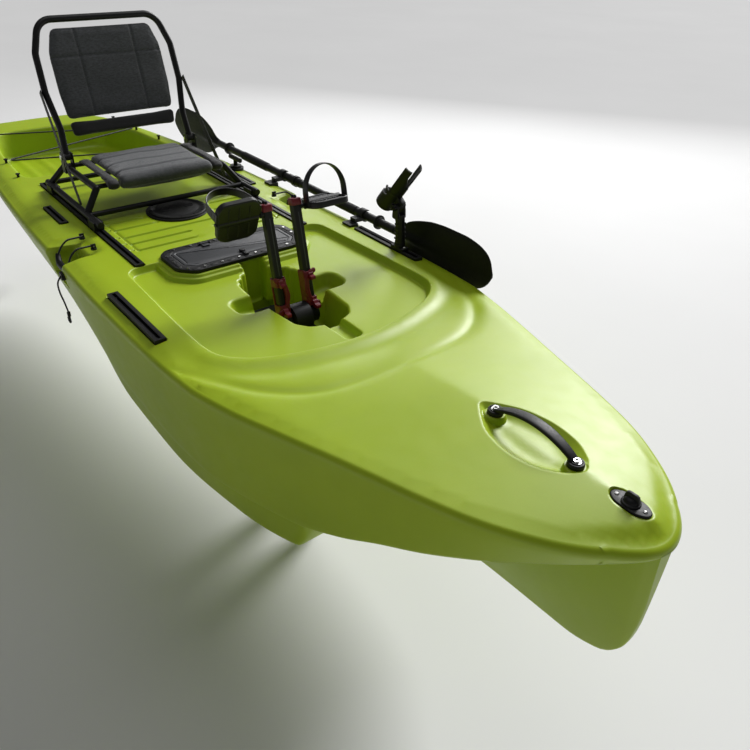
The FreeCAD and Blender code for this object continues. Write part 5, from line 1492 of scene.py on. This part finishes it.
def panel_rings(half_ring):
    outline = [(y, d) for d, y in half_ring] + [(-y, d) for d, y in half_ring[::-1]]
    loop = rounded(outline, 20, 9.0)
    return [[up_back(d, y, forward) for y, d in offset_loop(loop, -2.0 - pull)]
            for forward, pull in ((-9, 9), (-8, 3), (-4, 0), (4, 0), (8, 3), (9, 9))]


def panel_seams(p):
    """Two upright seams, a cross seam and a shallow hollow for the back."""
    across = np.array([math.cos(BACK_LEAN), 0, math.sin(BACK_LEAN)])
    along = np.array([-math.sin(BACK_LEAN), 0, math.cos(BACK_LEAN)])
    offset = p - np.array([BACK_PIVOT[0], 0, BACK_PIVOT[1]])
    forward, distance, y = offset @ across, offset @ along, p[:, 1]
    dent = 4.0 * hump(y, -98, 4.5) + 4.0 * hump(y, 98, 4.5) + 3.5 * hump(distance, 312, 4.5)
    dent += 0.7 * np.sin(distance / 23.0 + y / 61.0)
    return -(smoothstep(0.0, 5.0, forward) * dent)[:, None] * across


def make_back_pads():
    upper = [(112, 196), (200, 204), (330, 202), (408, 175)]
    pad = inflate(soft_form("seat_back_pad", panel_rings(upper)), 4.0, 0.005)
    press(pad, panel_seams)
    place(pad, "seat_back", "seat_fabric", stands_for=["seat_back_panel"])
    lower = [(57, 176), (62, 188), (110, 195)]
    band = inflate(soft_form("seat_back_band", panel_rings(lower)), 3.0, 0.003)
    place(band, "seat_back", "black_fabric", "seat_fabric")


STRAP_FOOT = (-330, 270.7, 398)
STRAP_TOP = (215, 257.3)         # distance up the back, y


def make_seat_strap(name, side):
    """Webbing from the runner up to the back's side tube, with a ladder buckle on it."""
    low = Vector((STRAP_FOOT[0], side * STRAP_FOOT[1], STRAP_FOOT[2]))
    run = Vector(up_back(STRAP_TOP[0], side * STRAP_TOP[1], 0)) - low
    across = (-run.z, 0, run.x)

    def along(t):
        return low + run * t + Vector((0, 0, -5.0 * math.sin(math.pi * t)))

    form = Form()
    form.sweep([along(t) for t in np.linspace(0, 1, 40)], 12.4, 1.25, across, 0.5)
    for t in (0.30, 0.36):
        half = run.normalized() * 3.4
        form.sweep([along(t) - half, along(t) + half], 14.5, 3.0, across, 0.6)
    piece = mesh_object(name + "_seat_strap", np.array(form.points) * MM, form.faces)
    smooth_by_angle(piece, 40)
    return piece


def make_seat_straps():
    straps, other = (make_seat_strap(name, side) for name, side in SIDES.items())
    with editing(straps.data) as work:
        work.from_mesh(other.data)
        bmesh.ops.recalc_face_normals(work, faces=work.faces)
    bpy.data.objects.remove(other)
    straps.name = "seat_webbing"
    straps.data.materials.append(MATERIALS["webbing"])
    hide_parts("seat_straps")
    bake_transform(straps)


# ---- cord beside the cockpit --------------------------------------------------------------
CORD_ROUTE = [(24, -472, 329), (34, -486, 314), (46, -489, 290), (58, -486, 262), (74, -485, 236)]


def make_side_cord():
    """Elastic cord that hangs down the hull's side, with a hook at its end."""
    path = [np.array(p) * MM for p in smooth_path(CORD_ROUTE, 3.0)]
    curve = bpy.data.curves.new("side_cord_line", "CURVE")
    curve.dimensions = "3D"
    curve.bevel_depth = 0.0025
    curve.bevel_resolution = 4
    curve.use_fill_caps = True
    line = curve.splines.new("POLY")
    line.points.add(len(path) - 1)
    for spot, p in zip(line.points, path):
        spot.co = (*p, 1)
    cord = add_to_scene("side_cord_line", curve)
    place(cord, "hull", "elastic", stands_for=["side_cord"])


make_cushion()
make_back_pads()
make_seat_straps()
make_side_cord()

# ---- CAD nodes keep their shape and get their finish ---------------------------------
for row in frame["record"]["subparts"]:
    node = frame["nodes"][row["node"]]
    if not node.hide_render:
        node.data.materials.clear()
        node.data.materials.append(MATERIALS[row["material_slot"]])

# ---- stage -----------------------------------------------------------------------------
FLOOR_Z = -0.48                  # metres
FLOOR_HALF = 300


def make_stage():
    corners = [(x * FLOOR_HALF, y * FLOOR_HALF, FLOOR_Z) for x, y in ((-1, -1), (1, -1), (1, 1), (-1, 1))]
    floor = mesh_object("floor", corners, [(0, 1, 2, 3)])
    n = Nodes("studio_floor")
    n.feed(Base_Color=n.ramp(n.noise(0.6), 0.3, 0.7, ((0.76, 0.76, 0.76, 1), (0.79, 0.79, 0.79, 1))))
    n.set(Roughness=0.9)
    floor.data.materials.append(n.material)


def aim(lamp, way):
    lamp.rotation_euler = Vector(way).to_track_quat("-Z", "Y").to_euler()


def area_light(name, at, target, size, power):
    light = bpy.data.lights.new(name, "AREA")
    light.shape = "RECTANGLE"
    light.size, light.size_y = size
    light.energy = power
    lamp = add_to_scene(name, light)
    lamp.location = at
    aim(lamp, Vector(target) - Vector(at))


def make_lights():
    world = bpy.data.worlds.new("studio")
    bpy.context.scene.world = world
    world.use_nodes = True
    background = world.node_tree.nodes["Background"]
    background.inputs["Color"].default_value = (1, 1, 1, 1)
    background.inputs["Strength"].default_value = 0.12
    sun = bpy.data.lights.new("window_light", "SUN")
    sun.energy = 3.3
    sun.angle = math.radians(22)
    aim(add_to_scene("window_light", sun), (0.30, -0.84, -0.66))
    area_light("back_sky", (-2.6, 4.6, 2.1), (0.9, 0, 0.2), (6.0, 1.6), 110)
    area_light("top_soft", (0.2, 0.6, 4.2), (0.6, 0, 0.2), (3.0, 3.0), 30)


def make_camera():
    data = bpy.data.cameras.new("camera")
    data.lens = 34.28
    data.sensor_width = 36.0
    data.shift_y = 0.0067
    data.clip_end = 200
    camera = add_to_scene("camera", data)
    right = (0.62041, 0.78377, 0.02802)
    up = (-0.45033, 0.32677, 0.83092)
    back = (0.64210, -0.52813, 0.55569)
    matrix = Matrix((right, up, back)).transposed().to_4x4()
    matrix.translation = (2.089, -0.957, 1.271)
    camera.matrix_world = matrix
    bpy.context.scene.camera = camera
    bpy.context.scene.view_settings.view_transform = "Standard"


make_stage()
make_lights()
make_camera()
